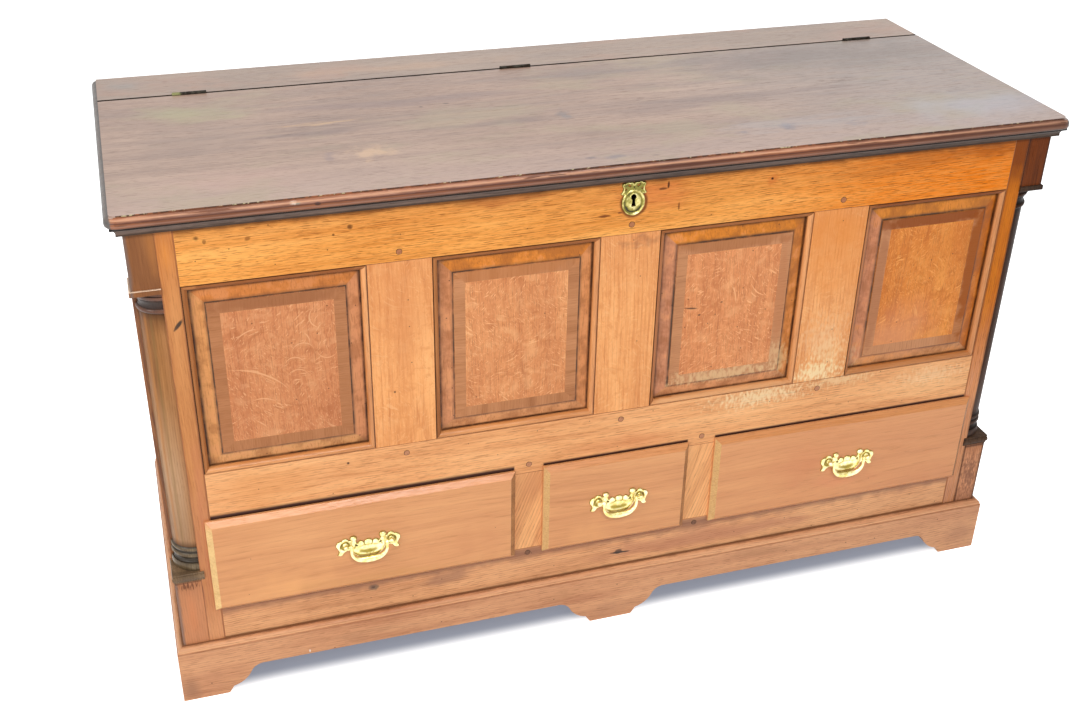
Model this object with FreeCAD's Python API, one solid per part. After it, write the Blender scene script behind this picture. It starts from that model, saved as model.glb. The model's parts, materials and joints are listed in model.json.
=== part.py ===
# Mule chest: a framed and panelled oak chest with a lifting lid, three drawers below it,
# quarter columns let into the front corners, and a moulded plinth on bracket feet.
#
# While modelling, in millimetres: x runs across with 0 in the middle, y runs back from the
# face of the front frame, z runs up from the floor. The last step moves every piece along y
# so that the origin is the middle of the bounding box's bottom.

import FreeCAD, Part
import math
import os

V = FreeCAD.Vector

# ---- Case ------------------------------------------------------------------------------
case_width = 1440.0             # over the corner posts
case_depth = 555.0              # front frame to back boards
case_top = 837.0                # top of the frames, under the lid
carcass_bottom = 60.0           # the posts stand on the plinth's ledge at this height

# ---- Posts -----------------------------------------------------------------------------
post_size = 65.0                # front corner posts, square before the rebate
column_rebate = 40.0            # square rebate in the outer corner, for the column
rear_post_size = 55.0

# ---- Front and side frames -------------------------------------------------------------
frame_thickness = 25.0
side_thickness = 22.0
top_rail_height = 101.5
middle_rail_height = 92.0
drawer_opening_height = 153.0
bottom_rail_height = 118.0
muntin_width = 95.5
muntin_drift = (2.0, 4.0, 5.5)  # each muntin stands this far right of even spacing
drawer_muntin_width = 65.5
centre_drawer_opening = 236.0
side_muntin_width = 80.0

# ---- Mortise and tenon joints ----------------------------------------------------------
tenon_setback = 8.0             # from the face of the frame
tenon_thickness = 8.0
tenon_shoulder = 10.0
rail_tenon = 20.0
muntin_tenon = 24.0
peg_radius = 4.5
peg_length = 18.0
top_peg_rise = 15.0             # top rail pegs above the panel openings
middle_peg_drop = 17.0          # middle rail pegs below the panel openings
drawer_peg_rise = 16.0
drawer_peg_drop = 10.0

# ---- Fielded panels --------------------------------------------------------------------
groove_depth = 6.0
groove_setback = 12.0
groove_width = 5.2
panel_tongue = 5.0              # how far the panel enters its groove
panel_slack = 0.2               # clearance on each face of the tongue
bevel_width = 31.5
bevel_setback = 4.4             # where the bevel ends, behind the frame's face
field_setback = 3.0
field_run = 0.5
banding_width = 17.0
banding_thickness = 0.8
strip_width = 8.7               # planted moulding round each front panel
strip_inner_setback = 7.0
quirk_width = 1.3
quirk_depth = 2.0

# ---- Quarter columns -------------------------------------------------------------------
shaft_radius = 34.0
base_height = 231.0             # top of the lower block, under its cap
base_cap_height = 16.0
upper_block_height = 100.0      # above the abacus
abacus_height = 9.0
cap_proud = 2.8
cap_ear = 6.0                   # the caps lap this far over the post's faces

# ---- Cornice under the lid -------------------------------------------------------------
cornice_height = 14.0
cornice_foot = 8.0
cornice_projection = 15.0

# ---- Lid and fixed top board -----------------------------------------------------------
lid_thickness = 17.7
lid_gap = 0.3                   # under the closed lid
lid_side_overhang = 21.0
lid_front_overhang = 21.0
fixed_board_width = 109.0
top_joint = 1.0                 # open joint between lid and fixed board
nosing_radius = 18.0            # plan radius of the lid's front corners
arris_inset = 7.5

# ---- Hinges ----------------------------------------------------------------------------
hinge_places = (-592.0, -47.0, 608.0)
hinge_length = 54.0
knuckle_count = 5
knuckle_radius = 3.5
knuckle_gap = 0.3
knuckle_rise = 0.5              # axis above the lid's top face
pin_radius = 1.5
pin_clearance = 0.05
leaf_thickness = 1.8
leaf_height = 12.0
leaf_lap = 0.3                  # each leaf stands this far into the open joint
knuckle_clearance = 0.3
hinge_screw_length = 12.0
hinge_screw_radius = 1.4
hinge_screw_head = 2.6

# ---- Plinth ----------------------------------------------------------------------------
plinth_height = 107.0
plinth_projection = 12.0
plinth_thickness = 22.0
foot_width = 73.0
centre_foot_width = 76.0
arch_height = 50.0
bracket_run = 61.0
glue_block = 50.0

# ---- Back, floor and drawer framing ----------------------------------------------------
back_board_thickness = 10.0
back_rail_thickness = 25.0
back_board_rebate = 10.0
back_board_count = 7
back_top_rail_height = 80.0
back_middle_rail_height = 31.0
floor_thickness = 14.0
floor_rise = 31.0               # underside of the chest floor above the drawer openings
floor_groove = 8.0
floor_board_count = 8
board_joint = 0.5
runner_height = 20.0
runner_width = 25.0
guide_height = 20.0
guide_lap = 20.0                # the middle runners carry this much on each side

# ---- Drawers ---------------------------------------------------------------------------
drawer_lip = 9.0                # the lipped fronts lap the frame by this much
lip_edge = 4.0
drawer_proud = 12.0
drawer_front_tail = 10.0        # how far the front's core reaches behind the frame's face
drawer_side_gap = 1.0
drawer_top_gap = 1.5
seat_gap = 0.3                  # drawers over their runners, lips in front of the frame
drawer_back_gap = 20.0          # between a closed drawer and the back rails
drawer_side = 10.0
drawer_back_drop = 7.0
drawer_base = 8.0
drawer_base_rise = 7.7
drawer_base_groove = 5.0
dovetail_lap = 8.0
dovetail_wide = 30.0
dovetail_narrow = 22.0
dovetail_count = 3

# ---- Drawer handles --------------------------------------------------------------------
handle_drift = (0.0, 3.0, 9.0)  # each handle sits this far right of its drawer's middle
handle_centre_rise = 0.0        # plate's middle above the drawer front's middle
plate_thickness = 1.5
pivot_spread = 36.5             # posts' distance from the plate's middle
pivot_rise = 4.5
pivot_standoff = 7.5            # from the plate's face
head_radius = 4.2
stem_radius = 2.4
shank_radius = 2.0
nut_size = 9.0
nut_thickness = 3.0
bail_radius = 3.0
bail_arm = 28.5
bail_drop = 31.0
bail_knee = 13.0
bail_bottom_radius = 90.0
bail_pin_radius = 2.0
bail_pin_clearance = 0.05
bail_pin_seat = 2.0             # the pin's end stays this far short of the head's far side

# ---- Lock ------------------------------------------------------------------------------
keyhole_drop = 41.5             # keyhole's round end below the top of the case
keyhole_radius = 3.6
keyhole_slot = 3.6
keyhole_length = 14.5
lock_left = 45.0                # case to the left of the keyhole
lock_right = 45.0
lock_height = 68.7
lock_cover = 11.5               # wood left in front of the lock
lock_depth = 18.5
lock_wall = 1.5
bolt_length = 37.0
bolt_height = 7.0
bolt_thickness = 5.0
bolt_drop = 8.0                 # top of the bolt below the top of the case
staple_thickness = 3.0
staple_depth = 12.0
staple_slack = 0.5
strike_length = 38.0
strike_width = 16.0
strike_thickness = 1.5
escutcheon_thickness = 1.5
escutcheon_width = 36.0
escutcheon_height = 39.0
escutcheon_low = 29.3           # its foot below the keyhole's round end

# ---- Places worked out from the sizes above --------------------------------------------
half_case = case_width / 2
stile_edge = half_case - post_size
rebate_edge = half_case - column_rebate
rear_post_front = case_depth - rear_post_size
rear_post_edge = half_case - rear_post_size
panel_top = case_top - top_rail_height
drawer_bottom = carcass_bottom + bottom_rail_height
drawer_top = drawer_bottom + drawer_opening_height
panel_bottom = drawer_top + middle_rail_height
abacus_top = case_top - upper_block_height
capital_height = abacus_top - abacus_height     # underside of the abacus
drawer_post_outer = centre_drawer_opening / 2 + drawer_muntin_width
lid_bottom = case_top + lid_gap
lid_top = lid_bottom + lid_thickness
lid_half = half_case + lid_side_overhang
hinge_line = case_depth - fixed_board_width - top_joint     # back edge of the lid
hinge_y = hinge_line + top_joint / 2
hinge_z = lid_top + knuckle_rise
muntin_count = len(muntin_drift)
even_opening = (2 * stile_edge - muntin_count * muntin_width) / (muntin_count + 1)
muntin_centres = []
for place, drift in enumerate(muntin_drift):
    even_centre = -stile_edge + (place + 1) * even_opening + (place + 0.5) * muntin_width
    muntin_centres.append(even_centre + drift)
drawer_muntin_centre = (centre_drawer_opening + drawer_muntin_width) / 2
lock_x = muntin_centres[muntin_count // 2]
keyhole_z = case_top - keyhole_drop
pivot_y = -drawer_proud - plate_thickness - pivot_standoff
back_rail_back = case_depth - back_board_thickness
back_rail_front = back_rail_back - back_rail_thickness
drawer_length = back_rail_front - drawer_back_gap


# ---- Small helpers ---------------------------------------------------------------------
def block(x0, x1, y0, y1, z0, z1):
    return Part.makeBox(x1 - x0, y1 - y0, z1 - z0, V(x0, y0, z0))


def rod(radius, start, end):
    along = end - start
    return Part.makeCylinder(radius, along.Length, start, along)


def joined(first, *others):
    return first.fuse(list(others)).removeSplitter()


def without(shape, cutters):
    for cutter in cutters:
        shape = shape.cut(cutter)
    return shape


def mirrored(shape):
    return shape.mirror(V(0, 0, 0), V(1, 0, 0))


def moved(shape, x, y, z):
    copy = shape.copy()
    copy.translate(V(x, y, z))
    return copy


# A closed outline: (a, b) is a corner, (a, b, c, d) is an arc through (a, b) to (c, d).
def outline_face(points, place):
    edges = []
    last = place(*points[0])
    for point in points[1:] + points[:1]:
        end = place(*point[-2:])
        if len(point) == 4:
            edges.append(Part.Arc(last, place(*point[:2]), end).toShape())
        elif (end - last).Length > 1e-6:
            edges.append(Part.LineSegment(last, end).toShape())
        last = end
    return Part.Face(Part.Wire(edges))


def along_x(points, x0, x1):
    return outline_face(points, lambda a, b: V(x0, a, b)).extrude(V(x1 - x0, 0, 0))


def along_y(points, y0, y1):
    return outline_face(points, lambda a, b: V(a, y0, b)).extrude(V(0, y1 - y0, 0))


def along_z(points, z0, z1):
    return outline_face(points, lambda a, b: V(a, b, z0)).extrude(V(0, 0, z1 - z0))


# Half an outline given from the top down is closed by its mirror image in a = 0.
def with_mirror(half):
    whole = list(half)
    for place in range(len(half) - 1, 0, -1):
        point = half[place]
        end_a, end_b = half[place - 1][-2:]
        if len(point) == 4:
            whole.append((-point[0], point[1], -end_a, end_b))
        else:
            whole.append((-end_a, end_b))
    return whole[:-1] if half[0][0] == 0 and len(whole[-1]) == 2 else whole


# The sides are drawn like the front, with x as the distance back and y as the depth in from
# the outer face, and then turned to the right side of the case.
def on_right(shape):
    turned = shape.copy()
    turned.rotate(V(0, 0, 0), V(0, 0, 1), 90)
    turned.translate(V(half_case, 0, 0))
    return turned


# ---- Joinery ---------------------------------------------------------------------------
def rail(x0, x1, z0, z1, thickness):
    body = block(x0, x1, 0, thickness, z0, z1)
    tenon = block(x0 - rail_tenon, x1 + rail_tenon, tenon_setback, tenon_setback + tenon_thickness,
                  z0 + tenon_shoulder, z1 - tenon_shoulder)
    return joined(body, tenon), tenon


def muntin(centre, width, z0, z1, thickness):
    body = block(centre - width / 2, centre + width / 2, 0, thickness, z0, z1)
    half_tenon = width / 2 - tenon_shoulder
    tenon = block(centre - half_tenon, centre + half_tenon, tenon_setback,
                  tenon_setback + tenon_thickness, z0 - muntin_tenon, z1 + muntin_tenon)
    return joined(body, tenon), tenon


def groove(x0, x1, z0, z1):
    return block(x0 - groove_depth, x1 + groove_depth, groove_setback,
                 groove_setback + groove_width, z0 - groove_depth, z1 + groove_depth)


def rectangle(x0, x1, z0, z1, y):
    corners = [V(x0, y, z0), V(x1, y, z0), V(x1, y, z1), V(x0, y, z1)]
    return Part.makePolygon(corners + corners[:1])


def tapered(x0, x1, z0, z1, y_wide, inset, y_narrow):
    wide = rectangle(x0, x1, z0, z1, y_wide)
    narrow = rectangle(x0 + inset, x1 - inset, z0 + inset, z1 - inset, y_narrow)
    return Part.makeLoft([wide, narrow], True, True)


def banding_strips(x0, x1, z0, z1):
    inset = bevel_width + field_run
    profile = [(0, field_setback), (banding_width, field_setback),
               (banding_width, field_setback + banding_thickness),
               (0, field_setback + banding_thickness)]
    return mitred_frame(x0 + inset, x1 - inset, z0 + inset, z1 - inset, profile)


tongue_front = groove_setback + panel_slack
tongue_thickness = groove_width - 2 * panel_slack


def fielded_panel(x0, x1, z0, z1, banded):
    tongue = block(x0 - panel_tongue, x1 + panel_tongue, tongue_front,
                   tongue_front + tongue_thickness, z0 - panel_tongue, z1 + panel_tongue)
    bevel = tapered(x0, x1, z0, z1, tongue_front, bevel_width, bevel_setback)
    field = tapered(x0 + bevel_width, x1 - bevel_width, z0 + bevel_width, z1 - bevel_width,
                    bevel_setback, field_run, field_setback)
    panel = joined(tongue, bevel, field)
    return without(panel, banding_strips(x0, x1, z0, z1)) if banded else panel


# Four strips with mitred ends round an opening; the profile is (distance in, y)
def mitred_frame(x0, x1, z0, z1, profile):
    reach = max(point[-2] for point in profile)
    front = min(point[-1] for point in profile) - 1
    back = max(point[-1] for point in profile) + 1

    def strip(length):
        bar = outline_face(profile, lambda inward, y: V(0, y, inward)).extrude(V(length, 0, 0))
        ends = along_y([(0, 0), (length, 0), (length - reach, reach), (reach, reach)], front, back)
        return bar.common(ends)

    strips = []
    for length, corner_x, corner_z, turn in ((x1 - x0, x0, z0, 0), (z1 - z0, x1, z0, -90),
                                             (x1 - x0, x1, z1, 180), (z1 - z0, x0, z1, 90)):
        piece = strip(length)
        piece.rotate(V(0, 0, 0), V(0, 1, 0), turn)
        piece.translate(V(corner_x, 0, corner_z))
        strips.append(piece)
    return strips


# ---- Front frame -----------------------------------------------------------------------
panel_edges = [-stile_edge]
for centre in muntin_centres:
    panel_edges += [centre - muntin_width / 2, centre + muntin_width / 2]
panel_edges.append(stile_edge)
front_openings = [(panel_edges[i], panel_edges[i + 1], panel_bottom, panel_top)
                  for i in range(0, len(panel_edges), 2)]
front_grooves = [groove(*opening) for opening in front_openings]

top_rail, top_tenon = rail(-stile_edge, stile_edge, panel_top, case_top, frame_thickness)
middle_rail, middle_tenon = rail(-stile_edge, stile_edge, drawer_top, panel_bottom, frame_thickness)
bottom_rail, bottom_tenon = rail(-stile_edge, stile_edge, carcass_bottom, drawer_bottom,
                                 frame_thickness)
front_tenons = [top_tenon, middle_tenon, bottom_tenon]

front_muntins = [muntin(centre, muntin_width, panel_bottom, panel_top, frame_thickness)
                 for centre in muntin_centres]
drawer_muntins = [muntin(side * drawer_muntin_centre, drawer_muntin_width, drawer_bottom,
                         drawer_top, frame_thickness) for side in (-1, 1)]

peg_places = [(centre, panel_top + top_peg_rise) for centre in muntin_centres]
peg_places += [(centre, panel_bottom - middle_peg_drop) for centre in muntin_centres]
for side in (-1, 1):
    peg_places.append((side * drawer_muntin_centre, drawer_top + drawer_peg_rise))
    peg_places.append((side * drawer_muntin_centre, drawer_bottom - drawer_peg_drop))
pegs = [rod(peg_radius, V(x, 0, z), V(x, peg_length, z)) for x, z in peg_places]

muntin_tenons = [tenon for body, tenon in front_muntins]
drawer_muntin_tenons = [tenon for body, tenon in drawer_muntins]


# ---- Side frames, drawn flat and turned to the right side -----------------------------
side_middle = (post_size + rear_post_front) / 2
side_openings = [
    (post_size, side_middle - side_muntin_width / 2, panel_bottom, panel_top),
    (side_middle + side_muntin_width / 2, rear_post_front, panel_bottom, panel_top),
    (post_size, rear_post_front, drawer_bottom, drawer_top),
]
side_grooves = [groove(*opening) for opening in side_openings]
side_rails = [rail(post_size, rear_post_front, z0, z1, side_thickness)
              for z0, z1 in ((panel_top, case_top), (drawer_top, panel_bottom),
                             (carcass_bottom, drawer_bottom))]
side_muntin, side_muntin_tenon = muntin(side_middle, side_muntin_width, panel_bottom, panel_top,
                                        side_thickness)
side_rail_solids = [on_right(without(body, side_grooves + [side_muntin_tenon]))
                    for body, tenon in side_rails]
side_rail_tenons = [on_right(tenon) for body, tenon in side_rails]
side_muntin_solid = on_right(without(side_muntin, side_grooves))
side_panel_solids = [on_right(fielded_panel(*opening, False)) for opening in side_openings]


# ---- Back: two framing rails and a ledge, with upright boards nailed on ----------------
def back_rail(z0, z1):
    body = block(-rear_post_edge, rear_post_edge, back_rail_front, back_rail_back, z0, z1)
    shoulder = min(tenon_shoulder, (z1 - z0) / 4)
    tenon = block(-rear_post_edge - rail_tenon, rear_post_edge + rail_tenon,
                  back_rail_front + tenon_setback, back_rail_front + tenon_setback + tenon_thickness,
                  z0 + shoulder, z1 - shoulder)
    return joined(body, tenon), tenon


floor_bottom = drawer_top + floor_rise
floor_top = floor_bottom + floor_thickness
back_rails = [back_rail(case_top - back_top_rail_height, case_top),
              back_rail(floor_bottom - back_middle_rail_height, floor_bottom),
              back_rail(carcass_bottom, drawer_bottom)]
back_board_half = rear_post_edge + back_board_rebate
back_rebate = block(-back_board_half, back_board_half, back_rail_back, case_depth,
                    carcass_bottom, case_top)


def boards(x0, x1, count, y0, y1, z0, z1):
    pitch = (x1 - x0 + board_joint) / count
    return [block(x0 + i * pitch, x0 + (i + 1) * pitch - board_joint, y0, y1, z0, z1)
            for i in range(count)]


back_boards = boards(-back_board_half, back_board_half, back_board_count, back_rail_back,
                     case_depth, carcass_bottom, case_top)


# ---- Corner posts ----------------------------------------------------------------------
front_post = block(stile_edge, half_case, 0, post_size, carcass_bottom, case_top)
column_space = block(rebate_edge, half_case, 0, column_rebate, carcass_bottom, case_top)
front_post = without(front_post, [column_space] + front_tenons + side_rail_tenons + front_grooves
                     + [on_right(cutter) for cutter in side_grooves])
rear_post = block(rear_post_edge, half_case, rear_post_front, case_depth, carcass_bottom, case_top)
rear_post = without(rear_post, side_rail_tenons + [tenon for body, tenon in back_rails]
                    + [on_right(cutter) for cutter in side_grooves] + [back_rebate])


# ---- Chest floor -----------------------------------------------------------------------
floor_boards = boards(-half_case + side_thickness, half_case - side_thickness, floor_board_count,
                      frame_thickness - floor_groove, back_rail_back, floor_bottom, floor_top)
post_spaces = [block(stile_edge, half_case, 0, post_size, carcass_bottom, case_top),
               block(rear_post_edge, half_case, rear_post_front, case_depth, carcass_bottom, case_top)]
post_spaces += [mirrored(space) for space in post_spaces]
side_groove_floor = block(-half_case, half_case, frame_thickness - floor_groove, frame_thickness,
                          floor_bottom, floor_top)
floor_boards = [without(board, post_spaces) for board in floor_boards]


# ---- Drawer framing: runners, guides and kickers under the chest floor -----------------
def drawer_frame():
    runner_bottom = drawer_bottom - runner_height
    kicker_bottom = drawer_top + seat_gap
    outer_x0 = stile_edge - runner_width
    middle_x0 = centre_drawer_opening / 2 - guide_lap
    middle_x1 = drawer_post_outer + guide_lap
    inner_side = half_case - side_thickness
    right = []
    for x0, x1 in ((outer_x0, stile_edge), (middle_x0, middle_x1)):
        right.append(block(x0, x1, frame_thickness, back_rail_front, runner_bottom, drawer_bottom))
        right.append(block(x0, x1, frame_thickness, back_rail_front, kicker_bottom,
                           kicker_bottom + runner_height))
    right.append(block(stile_edge, inner_side, post_size, rear_post_front, runner_bottom,
                       drawer_bottom + guide_height))
    right.append(block(centre_drawer_opening / 2, drawer_post_outer, frame_thickness,
                       back_rail_front, drawer_bottom, drawer_bottom + guide_height))
    return right + [mirrored(piece) for piece in right]


# ---- Planted mouldings round the front panels ------------------------------------------
def bevel_depth(distance_in):
    return tongue_front - (tongue_front - bevel_setback) * distance_in / bevel_width


strip_profile = [(0, tongue_front), (0, quirk_depth), (quirk_width, quirk_depth), (quirk_width, 0),
                 (quirk_width + 1.7, 0), (strip_width - 1.7, 2.6, strip_width, strip_inner_setback),
                 (strip_width, bevel_depth(strip_width))]
moulding_strips = []
for opening in front_openings:
    moulding_strips += mitred_frame(*opening, strip_profile)


# ---- Quarter columns and their blocks --------------------------------------------------
base_cap_top = base_height + base_cap_height


# Radius over the shaft, and height from the base cap or down from the abacus
def column_profile():
    foot = base_cap_top
    head = capital_height
    r = shaft_radius
    return [
        (0, foot), (r + 3.0, foot), (r + 4.6, foot + 7, r + 3.0, foot + 14),
        (r + 1.5, foot + 14), (r + 1.5, foot + 16), (r - 0.2, foot + 20, r + 1.2, foot + 24),
        (r + 3.4, foot + 28, r + 1.2, foot + 32), (r + 0.6, foot + 32), (r + 0.6, foot + 35),
        (r + 2.8, foot + 38.5, r + 0.6, foot + 42), (r, foot + 43),
        (r, head - 33), (r + 0.8, head - 33), (r + 3.2, head - 29, r + 0.8, head - 25),
        (r + 0.4, head - 25), (r - 0.4, head - 20.5, r + 0.8, head - 16), (r + 0.8, head - 14),
        (r + 4.0, head - 10.5, r + 4.6, head - 6), (r + 3.0, head - 6), (r + 3.0, head - 4),
        (r + 4.4, head - 4), (r + 4.4, head), (0, head),
    ]


def quarter_column():
    face = outline_face(column_profile(), lambda radius, z: V(radius, 0, z))
    turned = face.revolve(V(0, 0, 0), V(0, 0, 1), 90)
    turned.rotate(V(0, 0, 0), V(0, 0, 1), -90)
    turned.translate(V(rebate_edge, column_rebate, 0))
    return turned


# A moulded band on the right-hand block, mitred round its corner, lapping both post faces
def corner_cap(profile):
    z0 = profile[0][-1]
    z1 = profile[-1][-1]
    reach = column_rebate + cap_ear
    front = [(reach, z0)] + [mapped_arc(point, lambda p: -p) for point in profile] + [(reach, z1)]
    side = [(rebate_edge - cap_ear, z0)] + [mapped_arc(point, lambda p: half_case + p)
                                            for point in profile]
    side.append((rebate_edge - cap_ear, z1))
    band = along_x(front, rebate_edge - cap_ear, half_case + cap_proud)
    band = band.common(along_y(side, -cap_proud, reach))
    keep = joined(block(rebate_edge, half_case + cap_proud, -cap_proud, column_rebate, z0, z1),
                  block(rebate_edge - cap_ear, half_case, -cap_proud, 0, z0, z1),
                  block(half_case, half_case + cap_proud, 0, reach, z0, z1))
    return band.common(keep)


def mapped_arc(point, change):
    return tuple(change(value) if place % 2 == 0 else value for place, value in enumerate(point))


def column_blocks():
    p = cap_proud
    base_profile = [(0, base_height), (0.6, base_height),
                    (0.9, base_height + 3, p - 0.9, base_height + 4.5),
                    (p, base_height + 8.5, p - 0.9, base_height + 12.5), (p - 1.6, base_height + 12.5),
                    (p - 1.6, base_height + 14), (p - 1.0, base_height + 14), (p - 1.0, base_cap_top),
                    (0, base_cap_top)]
    abacus_profile = [(0, capital_height), (p - 1.4, capital_height),
                      (p - 0.2, capital_height + 1.2, p, capital_height + 3), (p, abacus_top - 1.5),
                      (p - 0.5, abacus_top - 0.4, p - 1.4, abacus_top), (0, abacus_top)]
    lower = block(rebate_edge, half_case, 0, column_rebate, carcass_bottom, base_height)
    upper = block(rebate_edge, half_case, 0, column_rebate, abacus_top, case_top)
    right = [joined(lower, corner_cap(base_profile)), joined(upper, corner_cap(abacus_profile))]
    return right + [mirrored(piece) for piece in right]


# ---- Mitred runs round the front and sides of the case ---------------------------------
def mitre_front(out, into, z0, z1):
    return along_z([(-half_case - out, -out), (half_case + out, -out), (half_case - into, into),
                    (-half_case + into, into)], z0, z1)


def mitre_side(out, into, z0, z1):
    return along_z([(half_case + out, -out), (half_case + out, case_depth),
                    (half_case - into, case_depth), (half_case - into, into)], z0, z1)


def front_run(profile, out, into, z0, z1):
    bar = along_x([mapped_arc(point, lambda p: -p) for point in profile],
                  -half_case - out, half_case + out)
    return bar.common(mitre_front(out, into, z0, z1))


def side_run(profile, out, into, z0, z1):
    bar = along_y([mapped_arc(point, lambda p: half_case + p) for point in profile],
                  -out, case_depth)
    return bar.common(mitre_side(out, into, z0, z1))


cornice_bottom = case_top - cornice_height
cornice_profile = [(0, cornice_bottom), (cornice_foot, cornice_bottom),
                   (cornice_foot, cornice_bottom + 2),
                   (cornice_foot + 1.5, case_top - 6, cornice_projection, case_top - 3),
                   (cornice_projection, case_top), (0, case_top)]
cornice_front = front_run(cornice_profile, cornice_projection, 0, cornice_bottom, case_top)
cornice_right = side_run(cornice_profile, cornice_projection, 0, cornice_bottom, case_top)


# ---- Plinth ----------------------------------------------------------------------------
plinth_inside = plinth_thickness - plinth_projection
plinth_profile = [(-plinth_inside, 0), (plinth_projection, 0),
                  (plinth_projection, plinth_height - 10.5),
                  (plinth_projection - 1.5, plinth_height - 10.5),
                  (plinth_projection - 3.5, plinth_height - 4, plinth_projection - 9, plinth_height - 1.5),
                  (plinth_projection - 9, plinth_height), (0, plinth_height), (0, carcass_bottom),
                  (-plinth_inside, carcass_bottom)]


# The cut-out between two bracket feet, from x0 to x1 at the floor
def arch_points(x0, x1):
    def bracket(edge, direction):
        def at(run, rise):
            return edge + direction * run * bracket_run, rise * arch_height
        return [at(0, 0), at(0.13, 0.25), at(0.43, 0.43) + at(0.61, 0.70), at(0.75, 0.92) + at(1, 1)]

    left = bracket(x0, 1)
    right = bracket(x1, -1)
    rising = left
    falling = [right[3][2:], right[3][:2] + right[2][2:], right[2][:2] + right[1], right[0]]
    return [(x0, -1)] + rising + falling + [(x1, -1)]


foot_inner = half_case + plinth_projection - foot_width
front_arches = [(-foot_inner, -centre_foot_width / 2), (centre_foot_width / 2, foot_inner)]
side_arch = (foot_width - plinth_projection, case_depth - foot_width)
plinth_front = front_run(plinth_profile, plinth_projection, plinth_inside, 0, plinth_height)
front_cuts = [along_y(arch_points(x0, x1), -plinth_projection - 1, plinth_inside + 1)
              for x0, x1 in front_arches]
plinth_front = without(plinth_front, front_cuts)
plinth_right = side_run(plinth_profile, plinth_projection, plinth_inside, 0, plinth_height)
plinth_right = without(plinth_right, [along_x(arch_points(*side_arch), half_case - plinth_inside - 1,
                                              half_case + plinth_projection + 1)])


def plinth_blocks():
    inner = half_case - plinth_inside
    right = [block(inner - glue_block, inner, front, front + glue_block, 0, carcass_bottom)
             for front in (plinth_inside, case_depth - glue_block)]
    centre = block(-centre_foot_width / 2, centre_foot_width / 2, plinth_inside,
                   plinth_inside + glue_block, 0, carcass_bottom)
    return right + [mirrored(piece) for piece in right] + [centre]


# ---- Lid and fixed top board -----------------------------------------------------------
# The moulded edge, as distance out from the line of the corner centres and height
def edge_profile(bottom):
    d = nosing_radius
    return [(0, bottom), (d - 4, bottom), (d - 1.2, bottom + 1.2, d, bottom + 4), (d, bottom + 5.7),
            (d - 1.8, lid_top - 6, d - arris_inset, lid_top - 2.4), (d - arris_inset, lid_top),
            (0, lid_top)]


def top_board(y0, y1, bottom, moulded_front):
    d = nosing_radius
    core_x = lid_half - d
    core_y = y0 + d if moulded_front else y0
    profile = edge_profile(bottom)
    pieces = [block(-core_x, core_x, core_y, y1, bottom, lid_top)]
    right = along_y([mapped_arc(point, lambda p: core_x + p) for point in profile], core_y, y1)
    pieces += [right, mirrored(right)]
    if moulded_front:
        pieces.append(along_x([mapped_arc(point, lambda p: core_y - p) for point in profile],
                              -core_x, core_x))
        corner = outline_face(profile, lambda out, z: V(out, 0, z)).revolve(V(0, 0, 0), V(0, 0, 1), -90)
        corner.translate(V(core_x, core_y, 0))
        pieces += [corner, mirrored(corner)]
    return joined(*pieces)


# ---- Hinges ----------------------------------------------------------------------------
def hinge_leaf(centre, side, knuckles):
    x0 = centre - hinge_length / 2
    pitch = hinge_length / knuckle_count
    face = hinge_y + side * (top_joint / 2 - leaf_lap)
    back = face + side * leaf_thickness
    y0, y1 = min(face, back), max(face, back)
    clear_top = hinge_z - knuckle_radius - knuckle_clearance
    pieces = [block(x0, x0 + hinge_length, y0, y1, clear_top - leaf_height, clear_top)]
    for k in knuckles:
        start = x0 + k * pitch + knuckle_gap / 2
        end = x0 + (k + 1) * pitch - knuckle_gap / 2
        pieces.append(block(start, end, y0, y1, clear_top - 1, hinge_z - pin_radius - 1))
        pieces.append(rod(knuckle_radius, V(start, hinge_y, hinge_z), V(end, hinge_y, hinge_z)))
    leaf = joined(*pieces)
    bore = rod(pin_radius + pin_clearance, V(x0 - 1, hinge_y, hinge_z),
               V(x0 + hinge_length + 1, hinge_y, hinge_z))
    return leaf.cut(bore)


def hinge_recess(centre, side):
    x0 = centre - hinge_length / 2
    x1 = centre + hinge_length / 2
    edge = hinge_y + side * top_joint / 2
    back = edge + side * (leaf_thickness - leaf_lap)
    slot = block(x0, x1, min(edge, back), max(edge, back),
                 hinge_z - knuckle_radius - knuckle_clearance - leaf_height, hinge_z)
    barrel = rod(knuckle_radius + knuckle_clearance, V(x0, hinge_y, hinge_z), V(x1, hinge_y, hinge_z))
    return [slot, barrel]


def hinge_screws(centre, side):
    face = hinge_y + side * (top_joint / 2 - leaf_lap)
    height = hinge_z - knuckle_radius - knuckle_clearance - leaf_height / 2
    screws = []
    for place in (-1, 0, 1):
        x = centre + place * hinge_length * 0.36
        start = V(x, face, height)
        head = Part.makeCone(hinge_screw_head, hinge_screw_radius, leaf_thickness * 0.8, start,
                             V(0, side, 0))
        shank = rod(hinge_screw_radius, start, V(x, face + side * hinge_screw_length, height))
        screws.append(joined(head, shank))
    return screws


fixed_knuckles = range(0, knuckle_count, 2)
lid_knuckles = range(1, knuckle_count, 2)
fixed_screws = [screw for x in hinge_places for screw in hinge_screws(x, 1)]
lid_screws = [screw for x in hinge_places for screw in hinge_screws(x, -1)]
fixed_leaves = [without(hinge_leaf(x, 1, fixed_knuckles), hinge_screws(x, 1)) for x in hinge_places]
lid_leaves = [without(hinge_leaf(x, -1, lid_knuckles), hinge_screws(x, -1)) for x in hinge_places]
hinge_pins = [rod(pin_radius, V(x - hinge_length / 2, hinge_y, hinge_z),
                  V(x + hinge_length / 2, hinge_y, hinge_z)) for x in hinge_places]


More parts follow.
